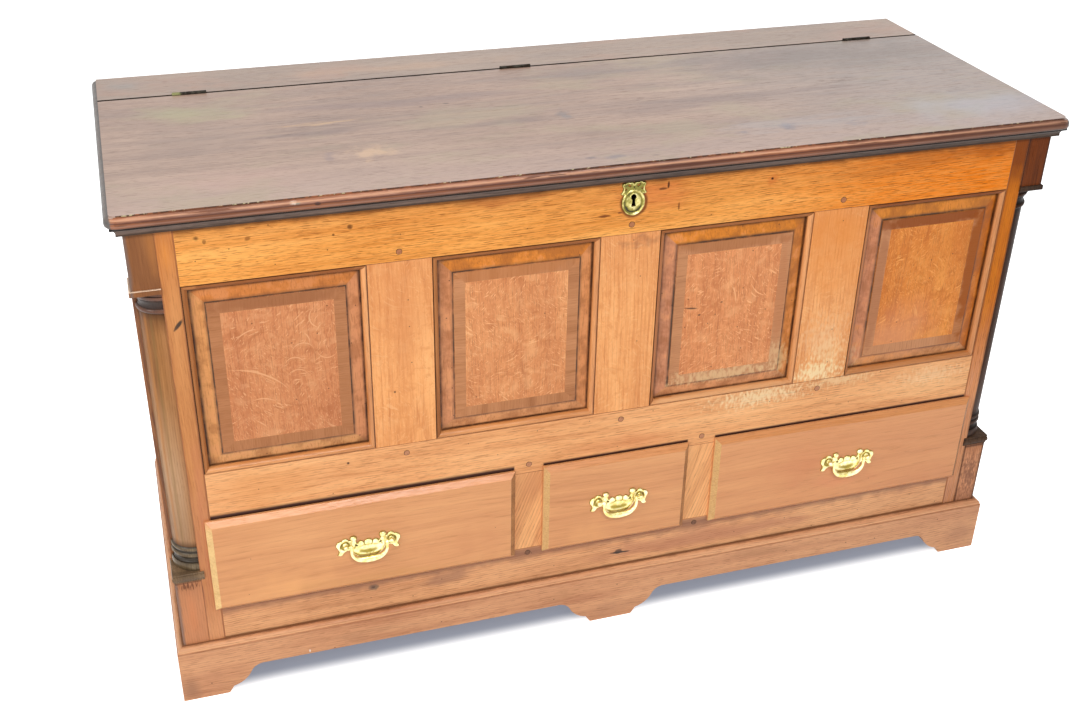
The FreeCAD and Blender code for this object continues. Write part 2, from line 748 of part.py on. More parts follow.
# ---- Lock: case in the top rail, sliding bolt, strike plate with a staple in the lid ---
lock_bottom = case_top - lid_gap - lock_height
lock_top = case_top - lid_gap
lock_back = lock_cover + lock_depth
bolt_top = case_top - bolt_drop
bolt_bottom = bolt_top - bolt_height
bolt_y0 = lock_cover + lock_wall + (lock_depth - 2 * lock_wall - bolt_thickness) / 2
bolt_y1 = bolt_y0 + bolt_thickness
staple_x0 = lock_x - staple_thickness / 2
bolt_nose = staple_x0 - 1.5


def keyhole(y0, y1):
    ring = rod(keyhole_radius, V(lock_x, y0, keyhole_z), V(lock_x, y1, keyhole_z))
    slot = block(lock_x - keyhole_slot / 2, lock_x + keyhole_slot / 2, y0, y1,
                 keyhole_z - keyhole_length, keyhole_z)
    return joined(ring, slot)


def lock_case():
    x0 = lock_x - lock_left
    x1 = lock_x + lock_right
    outer = block(x0, x1, lock_cover, lock_back, lock_bottom, lock_top)
    inner = block(x0 + lock_wall, x1 - lock_wall, lock_cover + lock_wall, lock_back - lock_wall,
                  lock_bottom + lock_wall, lock_top - lock_wall)
    shelf = block(x0 + lock_wall, lock_x - 4, lock_cover + lock_wall, lock_back - lock_wall,
                  bolt_bottom - seat_gap - lock_wall, bolt_bottom - seat_gap)
    staple_slot = block(lock_x - 5, lock_x + 5, lock_cover + lock_wall, lock_back - lock_wall,
                        lock_top - lock_wall, lock_top)
    case = joined(outer.cut(inner), shelf)
    return without(case, [staple_slot, keyhole(lock_cover, lock_cover + lock_wall)])


lock_space = block(lock_x - lock_left, lock_x + lock_right, lock_cover, frame_thickness,
                   lock_bottom, case_top)
lock_bolt = block(bolt_nose - bolt_length, bolt_nose, bolt_y0, bolt_y1, bolt_bottom, bolt_top)
strike_y0 = (lock_cover + lock_back - strike_width) / 2
strike_plate = block(lock_x - strike_length / 2, lock_x + strike_length / 2, strike_y0,
                     strike_y0 + strike_width, lid_bottom, lid_bottom + strike_thickness)
staple_y0 = (bolt_y0 + bolt_y1 - staple_depth) / 2
staple_window = block(staple_x0, staple_x0 + staple_thickness, bolt_y0 - staple_slack,
                      bolt_y1 + staple_slack, bolt_bottom - staple_slack, bolt_top + staple_slack)
staple = block(staple_x0, staple_x0 + staple_thickness, staple_y0, staple_y0 + staple_depth,
               bolt_bottom - staple_slack - 3, lid_bottom)
lock_strike = joined(strike_plate, staple).cut(staple_window)


# ---- Escutcheon: an oval plate under a ribbon bow --------------------------------------
def escutcheon():
    low = keyhole_z - escutcheon_low
    middle = low + escutcheon_height / 2
    top = low + escutcheon_height
    a = escutcheon_width / 2
    oval = Part.Ellipse(V(0, 0, 0), escutcheon_height / 2, a)
    disc = Part.Face(Part.Wire(oval.toShape())).extrude(V(0, 0, escutcheon_thickness))
    disc.rotate(V(0, 0, 0), V(0, 0, 1), 90)
    disc.rotate(V(0, 0, 0), V(1, 0, 0), 90)
    disc.translate(V(0, 0, middle))
    bow_half = [(0, top + 9.5), (3.0, top + 12.5, 7.0, top + 13.2), (14.0, top + 12.5, a, top + 6.0),
                (a, top + 1.0, a + 2.8, top - 3.0), (a + 1.0, top - 6.0), (a - 5.0, top - 8.0),
                (0, top - 8.0)]
    bow = along_y(with_mirror(bow_half), -escutcheon_thickness, 0)
    holes = []
    for side in (-1, 1):
        for x, z, radius in ((7.5, top + 8.5, 1.6), (12.2, top + 2.8, 1.7)):
            holes.append(rod(radius, V(side * x, -escutcheon_thickness, z), V(side * x, 0, z)))
    plate = joined(moved(disc, 0, 0, 0), bow)
    plate = moved(without(plate, holes), lock_x, 0, 0)
    return plate.cut(keyhole(-escutcheon_thickness - 1, 1))


# ---- Drawers ---------------------------------------------------------------------------
def dovetails(x0, x1, z0, z1):
    tails = []
    pitch = (z1 - z0) / dovetail_count
    joint_back = drawer_front_tail
    joint_front = joint_back - dovetail_lap
    for place in range(dovetail_count):
        middle = z0 + (place + 0.5) * pitch
        tails.append(along_x([(joint_front, middle - dovetail_wide / 2),
                              (joint_back, middle - dovetail_narrow / 2),
                              (joint_back, middle + dovetail_narrow / 2),
                              (joint_front, middle + dovetail_wide / 2)], x0, x1))
    return tails


def drawer(x0, x1):
    left = x0 + drawer_side_gap
    right = x1 - drawer_side_gap
    low = drawer_bottom + seat_gap
    high = drawer_top - drawer_top_gap
    sides = ((left, left + drawer_side), (right - drawer_side, right))
    tails = [dovetails(a, b, low, high) for a, b in sides]
    base_low = low + drawer_base_rise
    base = block(left + drawer_side - drawer_base_groove, right - drawer_side + drawer_base_groove,
                 drawer_front_tail - drawer_base_groove, drawer_length, base_low, base_low + drawer_base)

    core = block(left, right, -seat_gap, drawer_front_tail, low, high)
    lip_box = (x0 - drawer_lip, x1 + drawer_lip, drawer_bottom - drawer_lip, drawer_top + drawer_lip)
    lip = block(lip_box[0], lip_box[1], -seat_gap - lip_edge, -seat_gap, lip_box[2], lip_box[3])
    face = tapered(*lip_box, -seat_gap - lip_edge, drawer_lip, -drawer_proud)
    front = without(joined(core, lip, face), tails[0] + tails[1] + [base])

    box = []
    for (a, b), side_tails in zip(sides, tails):
        board = joined(block(a, b, drawer_front_tail, drawer_length, low, high), *side_tails)
        box.append(board.cut(base))
    box.append(block(left + drawer_side, right - drawer_side, drawer_length - drawer_side,
                     drawer_length, base_low + drawer_base, high - drawer_back_drop))
    box.append(base)
    return front, box


# ---- Handles ---------------------------------------------------------------------------
# The plate's right half from the top: a scalloped middle, an ear, an arch over the post and
# a fish-tailed wing, then the curved foot
def handle_outline():
    return with_mirror([
        (0, 9.5), (4.6, 8.6, 6.8, 4.2), (11.5, 8.4, 15.8, 5.0), (18.6, 6.4, 19.8, 10.5),
        (22.3, 19.2, 28.2, 13.8), (34.5, 16.8, 41.0, 12.6), (50.6, 9.0, 50.4, 0.5),
        (47.4, -6.0, 49.8, -13.8), (44.6, -16.6, 37.8, -12.4), (33.4, -9.4, 27.6, -10.2),
        (16.0, -20.6, 0, -24.0),
    ])


def bail_path():
    # a shallow bottom arc, a tangent knee each side and two straight arms
    turn = math.asin(bail_knee / bail_bottom_radius)
    sag = bail_bottom_radius * (1 - math.cos(turn))
    knee_radius = (bail_arm - bail_knee) / (1 - math.sin(turn))
    knee_top = -bail_drop + sag + knee_radius * math.cos(turn)
    knee_centre = bail_arm - knee_radius
    middle_turn = (turn + math.pi / 2) / 2
    knee_mid = (knee_centre + knee_radius * math.sin(middle_turn),
                knee_top - knee_radius * math.cos(middle_turn))
    low = (bail_knee, -bail_drop + sag)
    return low, knee_mid, knee_top


def handle(centre, middle_z, front_back):
    face = -drawer_proud
    plate = moved(along_y(handle_outline(), face - plate_thickness, face), centre, 0, middle_z)
    pivot_z = middle_z + pivot_rise
    posts = []
    pins = []
    for side in (-1, 1):
        x = centre + side * pivot_spread
        shank = rod(shank_radius, V(x, face, pivot_z), V(x, front_back + nut_thickness, pivot_z))
        stem = rod(stem_radius, V(x, pivot_y, pivot_z), V(x, face, pivot_z))
        head = Part.makeSphere(head_radius, V(x, pivot_y, pivot_z))
        inner = x - side * (head_radius + 1)
        far = x + side * (head_radius - bail_pin_seat + pin_clearance)
        bore = rod(bail_pin_radius + bail_pin_clearance, V(inner, pivot_y, pivot_z),
                   V(far, pivot_y, pivot_z))
        posts.append(joined(shank, stem, head).cut(bore))
        arm_x = centre + side * bail_arm
        pins.append(rod(bail_pin_radius, V(arm_x, pivot_y, pivot_z),
                        V(x + side * (head_radius - bail_pin_seat - 1), pivot_y, pivot_z)))
    holes = [rod(stem_radius, V(centre + side * pivot_spread, face - plate_thickness - 1, pivot_z),
                 V(centre + side * pivot_spread, face, pivot_z)) for side in (-1, 1)]
    shank_holes = [rod(shank_radius, V(centre + side * pivot_spread, face - 1, pivot_z),
                       V(centre + side * pivot_spread, front_back + 1, pivot_z)) for side in (-1, 1)]
    nuts = []
    for side in (-1, 1):
        x = centre + side * pivot_spread
        half = nut_size / 2
        nut = block(x - half, x + half, front_back, front_back + nut_thickness,
                    pivot_z - half, pivot_z + half)
        nuts.append(nut.cut(rod(shank_radius, V(x, front_back, pivot_z),
                                V(x, front_back + nut_thickness, pivot_z))))
    plate_parts = [without(plate, holes)] + posts + nuts

    low, knee_mid, knee_top = bail_path()

    def at(x, z):
        return V(centre + x, pivot_y, pivot_z + z)

    edges = [
        Part.LineSegment(at(-bail_arm, 0), at(-bail_arm, knee_top)).toShape(),
        Part.Arc(at(-bail_arm, knee_top), at(-knee_mid[0], knee_mid[1]), at(-low[0], low[1])).toShape(),
        Part.Arc(at(-low[0], low[1]), at(0, -bail_drop), at(low[0], low[1])).toShape(),
        Part.Arc(at(low[0], low[1]), at(knee_mid[0], knee_mid[1]), at(bail_arm, knee_top)).toShape(),
        Part.LineSegment(at(bail_arm, knee_top), at(bail_arm, 0)).toShape(),
    ]
    section = Part.Wire(Part.makeCircle(bail_radius, at(-bail_arm, 0), V(0, 0, -1)))
    hoop = Part.Wire(edges).makePipeShell([section], True, True)
    knobs = [Part.makeSphere(bail_radius * 1.08, at(side * bail_arm, 0)) for side in (-1, 1)]
    return plate_parts, joined(hoop, *(knobs + pins)), shank_holes


# ---- Put it together -------------------------------------------------------------------
nodes = {}

nodes["corner_post_right"] = [front_post]
nodes["corner_post_left"] = [mirrored(front_post)]
nodes["rear_post_right"] = [rear_post]
nodes["rear_post_left"] = [mirrored(rear_post)]
column = quarter_column()
nodes["quarter_column_right"] = [column]
nodes["quarter_column_left"] = [mirrored(column)]
nodes["column_blocks"] = column_blocks()

nodes["front_top_rail"] = [without(top_rail, front_grooves + muntin_tenons + pegs
                                   + [lock_space, keyhole(-1, lock_cover + 1)])]
nodes["front_middle_rail"] = [without(middle_rail, front_grooves + muntin_tenons + drawer_muntin_tenons
                                      + pegs + [side_groove_floor])]
nodes["front_bottom_rail"] = [without(bottom_rail, drawer_muntin_tenons + pegs)]
for number, (body, tenon) in enumerate(front_muntins, 1):
    nodes[f"front_muntin_{number}"] = [without(body, front_grooves + pegs)]
for name, (body, tenon) in zip(("left", "right"), drawer_muntins):
    nodes[f"drawer_muntin_{name}"] = [without(body, pegs)]
for number, opening in enumerate(front_openings, 1):
    nodes[f"front_panel_{number}"] = [fielded_panel(*opening, True)]
nodes["panel_mouldings"] = moulding_strips
nodes["panel_crossbanding"] = [strip for opening in front_openings for strip in banding_strips(*opening)]
nodes["joint_pegs"] = pegs

nodes["side_rails_right"] = side_rail_solids
nodes["side_rails_left"] = [mirrored(piece) for piece in side_rail_solids]
nodes["side_muntins"] = [side_muntin_solid, mirrored(side_muntin_solid)]
nodes["side_panels_right"] = side_panel_solids
nodes["side_panels_left"] = [mirrored(piece) for piece in side_panel_solids]
nodes["back_rails"] = [body for body, tenon in back_rails]
nodes["back_boards"] = back_boards
nodes["chest_floor_boards"] = floor_boards
nodes["drawer_runners"] = drawer_frame()

nodes["cornice_front"] = [cornice_front]
nodes["cornice_returns"] = [cornice_right, mirrored(cornice_right)]
nodes["plinth_front"] = [plinth_front]
nodes["plinth_right"] = [plinth_right]
nodes["plinth_left"] = [mirrored(plinth_right)]
nodes["plinth_blocks"] = plinth_blocks()

lid_recesses = [cutter for x in hinge_places for cutter in hinge_recess(x, -1)]
board_recesses = [cutter for x in hinge_places for cutter in hinge_recess(x, 1)]
lid_board = top_board(-lid_front_overhang, hinge_line, lid_bottom, True)
nodes["lid_board"] = [without(lid_board, lid_recesses + lid_screws + [strike_plate])]
back_board = top_board(hinge_line + top_joint, case_depth, case_top, False)
nodes["top_back_board"] = [without(back_board, board_recesses + fixed_screws)]
nodes["hinge_leaves_fixed"] = fixed_leaves
nodes["hinge_leaves_lid"] = lid_leaves
nodes["hinge_pins"] = hinge_pins
nodes["hinge_screws_fixed"] = fixed_screws
nodes["hinge_screws_lid"] = lid_screws
nodes["lock_case"] = [lock_case()]
nodes["lock_bolt"] = [lock_bolt]
nodes["lock_strike"] = [lock_strike]
nodes["escutcheon"] = [escutcheon()]

drawer_openings = {
    "left": (-stile_edge, -drawer_post_outer),
    "centre": (-centre_drawer_opening / 2, centre_drawer_opening / 2),
    "right": (drawer_post_outer, stile_edge),
}
handle_z = (drawer_bottom + drawer_top) / 2 + handle_centre_rise
for (name, (x0, x1)), drift in zip(drawer_openings.items(), handle_drift):
    front, box = drawer(x0, x1)
    plate_parts, bail, shank_holes = handle((x0 + x1) / 2 + drift, handle_z, drawer_front_tail)
    nodes[f"drawer_{name}_front"] = [without(front, shank_holes)]
    nodes[f"drawer_{name}_box"] = box
    nodes[f"handle_{name}_backplate"] = plate_parts
    nodes[f"bail_{name}"] = [bail]

# ---- Move the origin under the middle and write one file per node ----------------------
front_reach = max(lid_front_overhang, head_radius - pivot_y)
origin_shift = V(0, (front_reach - case_depth) / 2, 0)
os.makedirs("parts", exist_ok=True)
for name, solids in nodes.items():
    shape = solids[0] if len(solids) == 1 else Part.makeCompound(solids)
    shape.translate(origin_shift)
    shape.exportStep(f"parts/{name}.step")
print(len(nodes), "nodes written; y was moved by", round(origin_shift.y, 3), "mm")
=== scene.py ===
import json
import math
import random

import bmesh
import bpy
import numpy as np
from mathutils import Matrix, Vector

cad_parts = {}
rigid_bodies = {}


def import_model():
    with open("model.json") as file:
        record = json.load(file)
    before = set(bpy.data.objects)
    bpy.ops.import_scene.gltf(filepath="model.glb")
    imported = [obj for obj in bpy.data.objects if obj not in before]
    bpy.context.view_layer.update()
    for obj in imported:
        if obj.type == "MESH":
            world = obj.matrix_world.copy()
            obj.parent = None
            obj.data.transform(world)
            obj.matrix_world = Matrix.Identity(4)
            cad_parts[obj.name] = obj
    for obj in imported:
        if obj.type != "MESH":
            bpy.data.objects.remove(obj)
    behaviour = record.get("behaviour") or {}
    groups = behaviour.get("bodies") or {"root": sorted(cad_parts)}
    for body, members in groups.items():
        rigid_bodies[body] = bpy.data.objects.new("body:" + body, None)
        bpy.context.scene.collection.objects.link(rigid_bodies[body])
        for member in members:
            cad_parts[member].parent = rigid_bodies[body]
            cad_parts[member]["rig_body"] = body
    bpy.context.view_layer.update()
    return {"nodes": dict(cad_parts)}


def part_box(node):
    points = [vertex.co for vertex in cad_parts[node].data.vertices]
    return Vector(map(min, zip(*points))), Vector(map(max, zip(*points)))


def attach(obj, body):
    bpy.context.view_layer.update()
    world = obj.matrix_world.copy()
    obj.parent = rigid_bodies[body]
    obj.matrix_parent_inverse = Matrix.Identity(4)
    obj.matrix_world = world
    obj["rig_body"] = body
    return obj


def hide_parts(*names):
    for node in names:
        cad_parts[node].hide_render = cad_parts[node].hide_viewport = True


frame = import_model()
nodes = frame["nodes"]
scene = bpy.context.scene
scene.view_settings.view_transform = "Standard"
mm = 0.001
print("frame loaded,", len(nodes), "nodes")


# ---- node helpers

def tone(red, green, blue):
    # a colour as it reads on screen, 0 to 255
    def linear(level):
        level = level / 255
        return level / 12.92 if level <= 0.04045 else ((level + 0.055) / 1.055) ** 2.4
    return (linear(red), linear(green), linear(blue), 1.0)


class Finish:
    # adds nodes to a material or a world; colours of three numbers are tones, of four are linear
    def __init__(self, owner):
        self.owner = owner
        owner.use_nodes = True
        self.tree = owner.node_tree
        self.shader = self.tree.nodes.get("Principled BSDF")

    def feed(self, socket, value):
        if isinstance(value, bpy.types.NodeSocket):
            self.tree.links.new(value, socket)
        elif socket.type == "RGBA" and len(value) == 3:
            socket.default_value = tone(*value)
        else:
            socket.default_value = value

    def add(self, kind, sockets, **settings):
        node = self.tree.nodes.new(kind)
        for key, value in settings.items():
            setattr(node, key, value)
        for key, value in sockets.items():
            self.feed(node.inputs[key], value)
        return node

    def give(self, name, value):
        self.feed(self.shader.inputs[name], value)

    def work(self, operation, first, second=0.0):
        return self.add("ShaderNodeMath", {0: first, 1: second}, operation=operation).outputs[0]

    def plus(self, first, second):
        return self.work("ADD", first, second)

    def minus(self, first, second):
        return self.work("SUBTRACT", first, second)

    def times(self, first, second):
        return self.work("MULTIPLY", first, second)

    def larger(self, first, second):
        return self.work("MAXIMUM", first, second)

    def smaller(self, first, second):
        return self.work("MINIMUM", first, second)

    def size(self, value):
        return self.work("ABSOLUTE", value)

    def vectors(self, operation, first, second=(0.0, 0.0, 0.0)):
        return self.add("ShaderNodeVectorMath", {0: first, 1: second}, operation=operation).outputs[0]

    def scaled(self, place, factors):
        return self.vectors("MULTIPLY", place, factors)

    def length(self, vector):
        return self.add("ShaderNodeVectorMath", {0: vector}, operation="LENGTH").outputs[1]

    def mix(self, share, first, second):
        return self.add("ShaderNodeMix", {0: share, 6: first, 7: second}, data_type="RGBA").outputs[2]

    def span(self, value, low, high, newLow=0.0, newHigh=1.0):
        sockets = {"Value": value, "From Min": low, "From Max": high, "To Min": newLow, "To Max": newHigh}
        return self.add("ShaderNodeMapRange", sockets, interpolation_type="SMOOTHSTEP").outputs[0]

    def speckle(self, place, factors=None, detail=2.0, roughness=0.5, distortion=0.0):
        if factors:
            place = self.scaled(place, factors)
        sockets = {"Vector": place, "Scale": 1.0, "Detail": detail, "Roughness": roughness,
                   "Distortion": distortion}
        return self.add("ShaderNodeTexNoise", sockets).outputs[0]

    def ramp(self, value, stops):
        node = self.add("ShaderNodeValToRGB", {0: value})
        elements = node.color_ramp.elements
        while len(elements) < len(stops):
            elements.new(0.5)
        for element, (position, shade) in zip(elements, stops):
            element.position = position
            element.color = tone(*shade)
        return node.outputs[0]

    def here(self):
        return self.add("ShaderNodeTexCoord", {}).outputs["Object"]

    def parts(self, vector):
        return self.add("ShaderNodeSeparateXYZ", {0: vector}).outputs

    def vector(self, x, y, z):
        return self.add("ShaderNodeCombineXYZ", {0: x, 1: y, 2: z}).outputs[0]

    def attribute(self, name):
        return self.add("ShaderNodeAttribute", {}, attribute_name=name).outputs

    def seen(self):
        # 1 for what the camera, a gloss or clear glass sees
        rays = self.add("ShaderNodeLightPath", {}).outputs
        return self.larger(self.larger(rays["Is Camera Ray"], rays["Is Glossy Ray"]),
                           rays["Is Transmission Ray"])

    def either(self, share, first, second):
        return self.add("ShaderNodeMixShader", {0: share, 1: first, 2: second}).outputs[0]


# ---- camera, floor and light

cameraValues = {
    "place": (-0.69112, -1.97795, 1.58708),
    "right": (0.95419572, -0.29866992, 0.01751612),
    "down": (-0.13575671, -0.48440343, -0.86424732),
    "forward": (0.26660955, 0.82228316, -0.50276213),
    "lens": 45.06,
}

lightValues = {
    "roomStrength": 0.36,
    "roomTint": (0.93, 0.96, 1.0),
    # the near floor tone and glow paint the chest's shadow onto the floor under it and just round it
    "floorToneNear": (0.10, 0.105, 0.12),
    "floorToneFar": (0.8, 0.8, 0.8),
    "floorGlowNear": (0.25, 0.262, 0.315),
    "floorGlowFar": (1.0, 1.0, 1.0),
    "footprint": (0.68, 0.2415),    # half across and half deep, where the near tones hold
    "nearReach": 0.044,
    "floorReach": 30.0,
    # place, aim, width, height, watts, tint
    "lamps": {
        "windowLeft": ((-3.0, -1.7, 2.0), (0.0, -0.2, 0.4), 1.3, 1.3, 54.0, (1.0, 0.98, 0.94)),
        "overhead": ((0.2, 0.5, 3.2), (0.0, 0.0, 0.5), 2.4, 1.0, 39.0, (1.0, 1.0, 1.0)),
        "frontHigh": ((-0.15, -2.5, 2.75), (0.0, -0.2, 0.4), 1.5, 0.8, 47.0, (1.0, 1.0, 0.98)),
    },
}


def makeCamera():
    data = bpy.data.cameras.new("camera")
    data.sensor_width = 36.0
    data.lens = cameraValues["lens"]
    data.clip_start = 0.05
    data.clip_end = 100.0
    camera = bpy.data.objects.new("camera", data)
    scene.collection.objects.link(camera)
    right = Vector(cameraValues["right"])
    up = -Vector(cameraValues["down"])
    back = -Vector(cameraValues["forward"])
    turn = Matrix((right, up, back)).transposed()
    camera.matrix_world = Matrix.Translation(cameraValues["place"]) @ turn.to_4x4()
    scene.camera = camera


def makeRoom():
    room = Finish(bpy.data.worlds.new("room"))
    scene.world = room.owner
    lit = room.tree.nodes["Background"]
    room.feed(lit.inputs["Color"], (*lightValues["roomTint"], 1.0))
    room.feed(lit.inputs["Strength"], lightValues["roomStrength"])
    white = room.add("ShaderNodeBackground", {"Color": (1.0, 1.0, 1.0, 1.0)})
    shown = room.either(room.seen(), lit.outputs[0], white.outputs[0])
    room.feed(room.tree.nodes["World Output"].inputs["Surface"], shown)


def makeFloor():
    bm = bmesh.new()
    bmesh.ops.create_grid(bm, x_segments=1, y_segments=1, size=lightValues["floorReach"])
    mesh = bpy.data.meshes.new("floor")
    bm.to_mesh(mesh)
    bm.free()
    floor = bpy.data.objects.new("floor", mesh)
    scene.collection.objects.link(floor)
    paper = Finish(bpy.data.materials.new("paperFloor"))
    paper.tree.nodes.remove(paper.shader)
    # painted shadow: darker close to the footprint
    flat = paper.vectors("ABSOLUTE", paper.here())
    outer = paper.vectors("SUBTRACT", flat, (*lightValues["footprint"], 0.0))
    away = paper.length(paper.vectors("MAXIMUM", outer))
    share = paper.span(away, 0.0, lightValues["nearReach"])

    def blended(kind):
        near, far = lightValues[kind + "Near"], lightValues[kind + "Far"]
        return paper.mix(share, (*near, 1.0), (*far, 1.0))

    diffuse = paper.add("ShaderNodeBsdfDiffuse", {"Color": blended("floorTone")}).outputs[0]
    glow = paper.add("ShaderNodeEmission", {"Color": blended("floorGlow")}).outputs[0]
    both = paper.add("ShaderNodeAddShader", {0: diffuse, 1: glow}).outputs[0]
    shown = paper.either(paper.seen(), diffuse, both)
    paper.feed(paper.tree.nodes["Material Output"].inputs["Surface"], shown)
    mesh.materials.append(paper.owner)


def makeLamps():
    for name, (place, aim, width, height, watts, tint) in lightValues["lamps"].items():
        data = bpy.data.lights.new(name, "AREA")
        data.shape = "RECTANGLE"
        data.size = width
        data.size_y = height
        data.energy = watts
        data.color = tint
        lamp = bpy.data.objects.new(name, data)
        scene.collection.objects.link(lamp)
        lamp.location = place
        lamp.rotation_euler = (Vector(aim) - Vector(place)).to_track_quat("-Z", "Y").to_euler()


makeCamera()
makeRoom()
makeFloor()
makeLamps()
print("camera, floor and light set")


# ---- finishes

def addMark(finish, here, colour, mark):
    # a stain, bloom, knot, painted shade, painted highlight or painted reflection at one place; size is its
    # reach along x, y and z
    offset = finish.vectors("SUBTRACT", here, [c * mm for c in mark["at"]])
    if "turn" in mark:
        offset = finish.add("ShaderNodeVectorRotate", {"Vector": offset, "Angle": math.radians(mark["turn"])},
                            rotation_type="Y_AXIS").outputs[0]
    reach = finish.length(finish.scaled(offset, [1 / (c * mm) for c in mark["size"]]))
    wobble = finish.speckle(here, mark.get("grain", (60, 60, 60)), detail=3.0)
    ragged = mark.get("ragged", 0.8)
    reach = finish.plus(reach, finish.times(finish.minus(wobble, 0.5), ragged * 2))
    if "ring" in mark:
        reach = finish.size(finish.minus(reach, 1.0))
        share = finish.span(reach, mark["ring"], 0.0, 0.0, mark["strength"])
    else:
        share = finish.span(reach, 1.0, mark.get("core", 0.45), 0.0, mark["strength"])
    return finish.mix(share, colour, mark["tone"])


def circleThrough(start, middle, end):
    (ax, ay), (bx, by), (cx, cy) = start, middle, end
    d = 2 * (ax * (by - cy) + bx * (cy - ay) + cx * (ay - by))
    a, b, c = ax * ax + ay * ay, bx * bx + by * by, cx * cx + cy * cy
    x = (a * (by - cy) + b * (cy - ay) + c * (ay - by)) / d
    y = (a * (cx - bx) + b * (ax - cx) + c * (bx - ax)) / d
    return x, y, math.hypot(ax - x, ay - y)


def arcShare(finish, here, start, middle, end, width):
    # 1 on a thin curved stroke through three places of the front, tapered at both ends
    x, z, radius = circleThrough(start, middle, end)
    flat = finish.scaled(here, (1.0, 0.0, 1.0))

    def distance(atX, atZ):
        return finish.length(finish.vectors("SUBTRACT", flat, (atX * mm, 0.0, atZ * mm)))

    near = finish.size(finish.minus(distance(x, z), radius * mm))
    reach = max(math.dist(start, middle), math.dist(middle, end)) * mm
    taper = finish.span(distance(*middle), reach, reach * 0.25)
    wide = finish.times(taper, width * mm)
    return finish.span(finish.minus(near, wide), 0.0006, -0.0006)


def insetOf(finish, here, panel):
    # how far each place lies inside a panel's opening, across and up
    x, _, z = finish.parts(here)
    insideX = finish.minus(panel["halfX"], finish.size(finish.minus(x, panel["x"])))
    insideZ = finish.minus(panel["halfZ"], finish.size(finish.minus(z, panel["z"])))
    return insideX, insideZ


def panelSides(finish, here, panel):
    # for each side of a panel's border a share that is 1 there, parted at the mitres
    x, _, z = finish.parts(here)
    upright = finish.work("LESS_THAN", *insetOf(finish, here, panel))
    level = finish.minus(1.0, upright)
    right = finish.work("GREATER_THAN", x, panel["x"])
    upper = finish.work("GREATER_THAN", z, panel["z"])
    return {"left": finish.times(upright, finish.minus(1.0, right)), "right": finish.times(upright, right),
            "top": finish.times(level, upper), "bottom": finish.times(level, finish.minus(1.0, upper))}


def addPanelLines(finish, here, colour, panel, sides):
    # painted shade along the foot of the moulding and the step of the field, a painted highlight on the
    # step's lit edges, and painted shade in the corners
    insideX, insideZ = insetOf(finish, here, panel)
    depth = finish.smaller(insideX, insideZ)
    wobble = finish.speckle(here, (45, 45, 45), detail=3.0)
    for at, width, strength, shade, where in panel["lines"]:
        away = finish.size(finish.minus(depth, at * mm))
        share = finish.span(away, width * mm, 0.0)
        if where:
            share = finish.times(share, sides[where])
        patchy = finish.span(wobble, 0.36, 0.6, strength * 0.65, strength)
        colour = finish.mix(finish.times(share, patchy), colour, shade)
    # painted shade in the inner corners of the opening
    corner = finish.span(finish.plus(insideX, insideZ), 0.050, 0.016, 0.0, panel["corner"])
    return finish.mix(finish.times(corner, finish.span(wobble, 0.35, 0.6)), colour, (104, 66, 38))


def addLine(finish, here, colour, line):
    # a line along x, y or z, for dirt along a joint, painted shade or a painted highlight: axis, place and
    # reach in mm, strength, tone
    axis, at, reach, strength, shade = line[:5]
    wobble = finish.speckle(here, (30, 30, 30), detail=4.0)
    away = finish.size(finish.minus(finish.parts(here)[axis], at * mm))
    away = finish.times(away, finish.span(wobble, 0.3, 0.7, 1.35, 0.75))
    share = finish.span(away, reach * mm, 0.0, 0.0, strength)
    if len(line) > 5:
        # only here and there: how rare, and along x how fine
        rarity, fineness = line[5:]
        bits = finish.speckle(here, (fineness, 200, 200), detail=3.0)
        share = finish.times(share, finish.span(bits, rarity, rarity + 0.05))
    return finish.mix(share, colour, shade)


def addShadowAboveDrawers(finish, here, colour, shading):
    # painted shadow above each drawer, left out where a muntin stands between two drawers
    x, _, z = finish.parts(here)
    aside = finish.size(finish.minus(finish.size(x), shading["muntin"] * mm))
    above = finish.size(finish.minus(z, shading["z"] * mm))
    # wider over the left drawer than over the others
    left, others = shading["reach"]
    wide = finish.span(x, -184 * mm, -120 * mm, left * mm, others * mm)
    near = finish.work("DIVIDE", above, wide)
    share = finish.times(finish.span(near, 1.0, 0.3), finish.span(aside, 23 * mm, 26 * mm))
    return finish.mix(share, colour, shading["tone"])


def addFades(finish, here, colour, fades):
    # slow changes of tone along x, y or z, real tone and painted light and shade alike
    for axis, low, high, shade, strength in fades:
        share = finish.span(finish.parts(here)[axis], low * mm, high * mm, 0.0, strength)
        colour = finish.mix(share, colour, shade)
    return colour


def addSpecks(finish, here, colour, specks):
    # small holes scattered over the front: cells to the metre, share of cells that have one, radius
    count, share, radius = specks
    x, _, z = finish.parts(here)
    cells = finish.add("ShaderNodeTexVoronoi", {"Vector": finish.vector(x, z, 0.0), "Scale": count},
                       voronoi_dimensions="2D")
    near = finish.span(cells.outputs["Distance"], radius * mm * count, radius * mm * count * 0.5, 0.0, 0.85)
    chosen = finish.work("LESS_THAN", finish.parts(cells.outputs["Color"])[0], share)
    return finish.mix(finish.times(near, chosen), colour, (74, 42, 22))


def addBevel(finish, here, colour, wood, sides, onField, dashes):
    # a tone for each side of the bevel round a panel's field, which paints in how the light falls on that
    # side
    bevel = wood["bevels"]["left"]
    for side in ("right", "top", "bottom"):
        bevel = finish.mix(sides[side], bevel, wood["bevels"][side])
    cloud = finish.speckle(here, (34, 34, 34), detail=4.0, roughness=0.6)
    bevel = finish.mix(finish.span(cloud, 0.56, 0.36, 0.0, 0.5), bevel, wood["bevelDark"])
    bevel = finish.mix(finish.span(cloud, 0.5, 0.64, 0.0, 0.4), bevel, wood["pale"])
    bevel = finish.mix(finish.times(dashes, 0.5), bevel, wood["bevelDark"])
    return finish.mix(onField, bevel, colour)


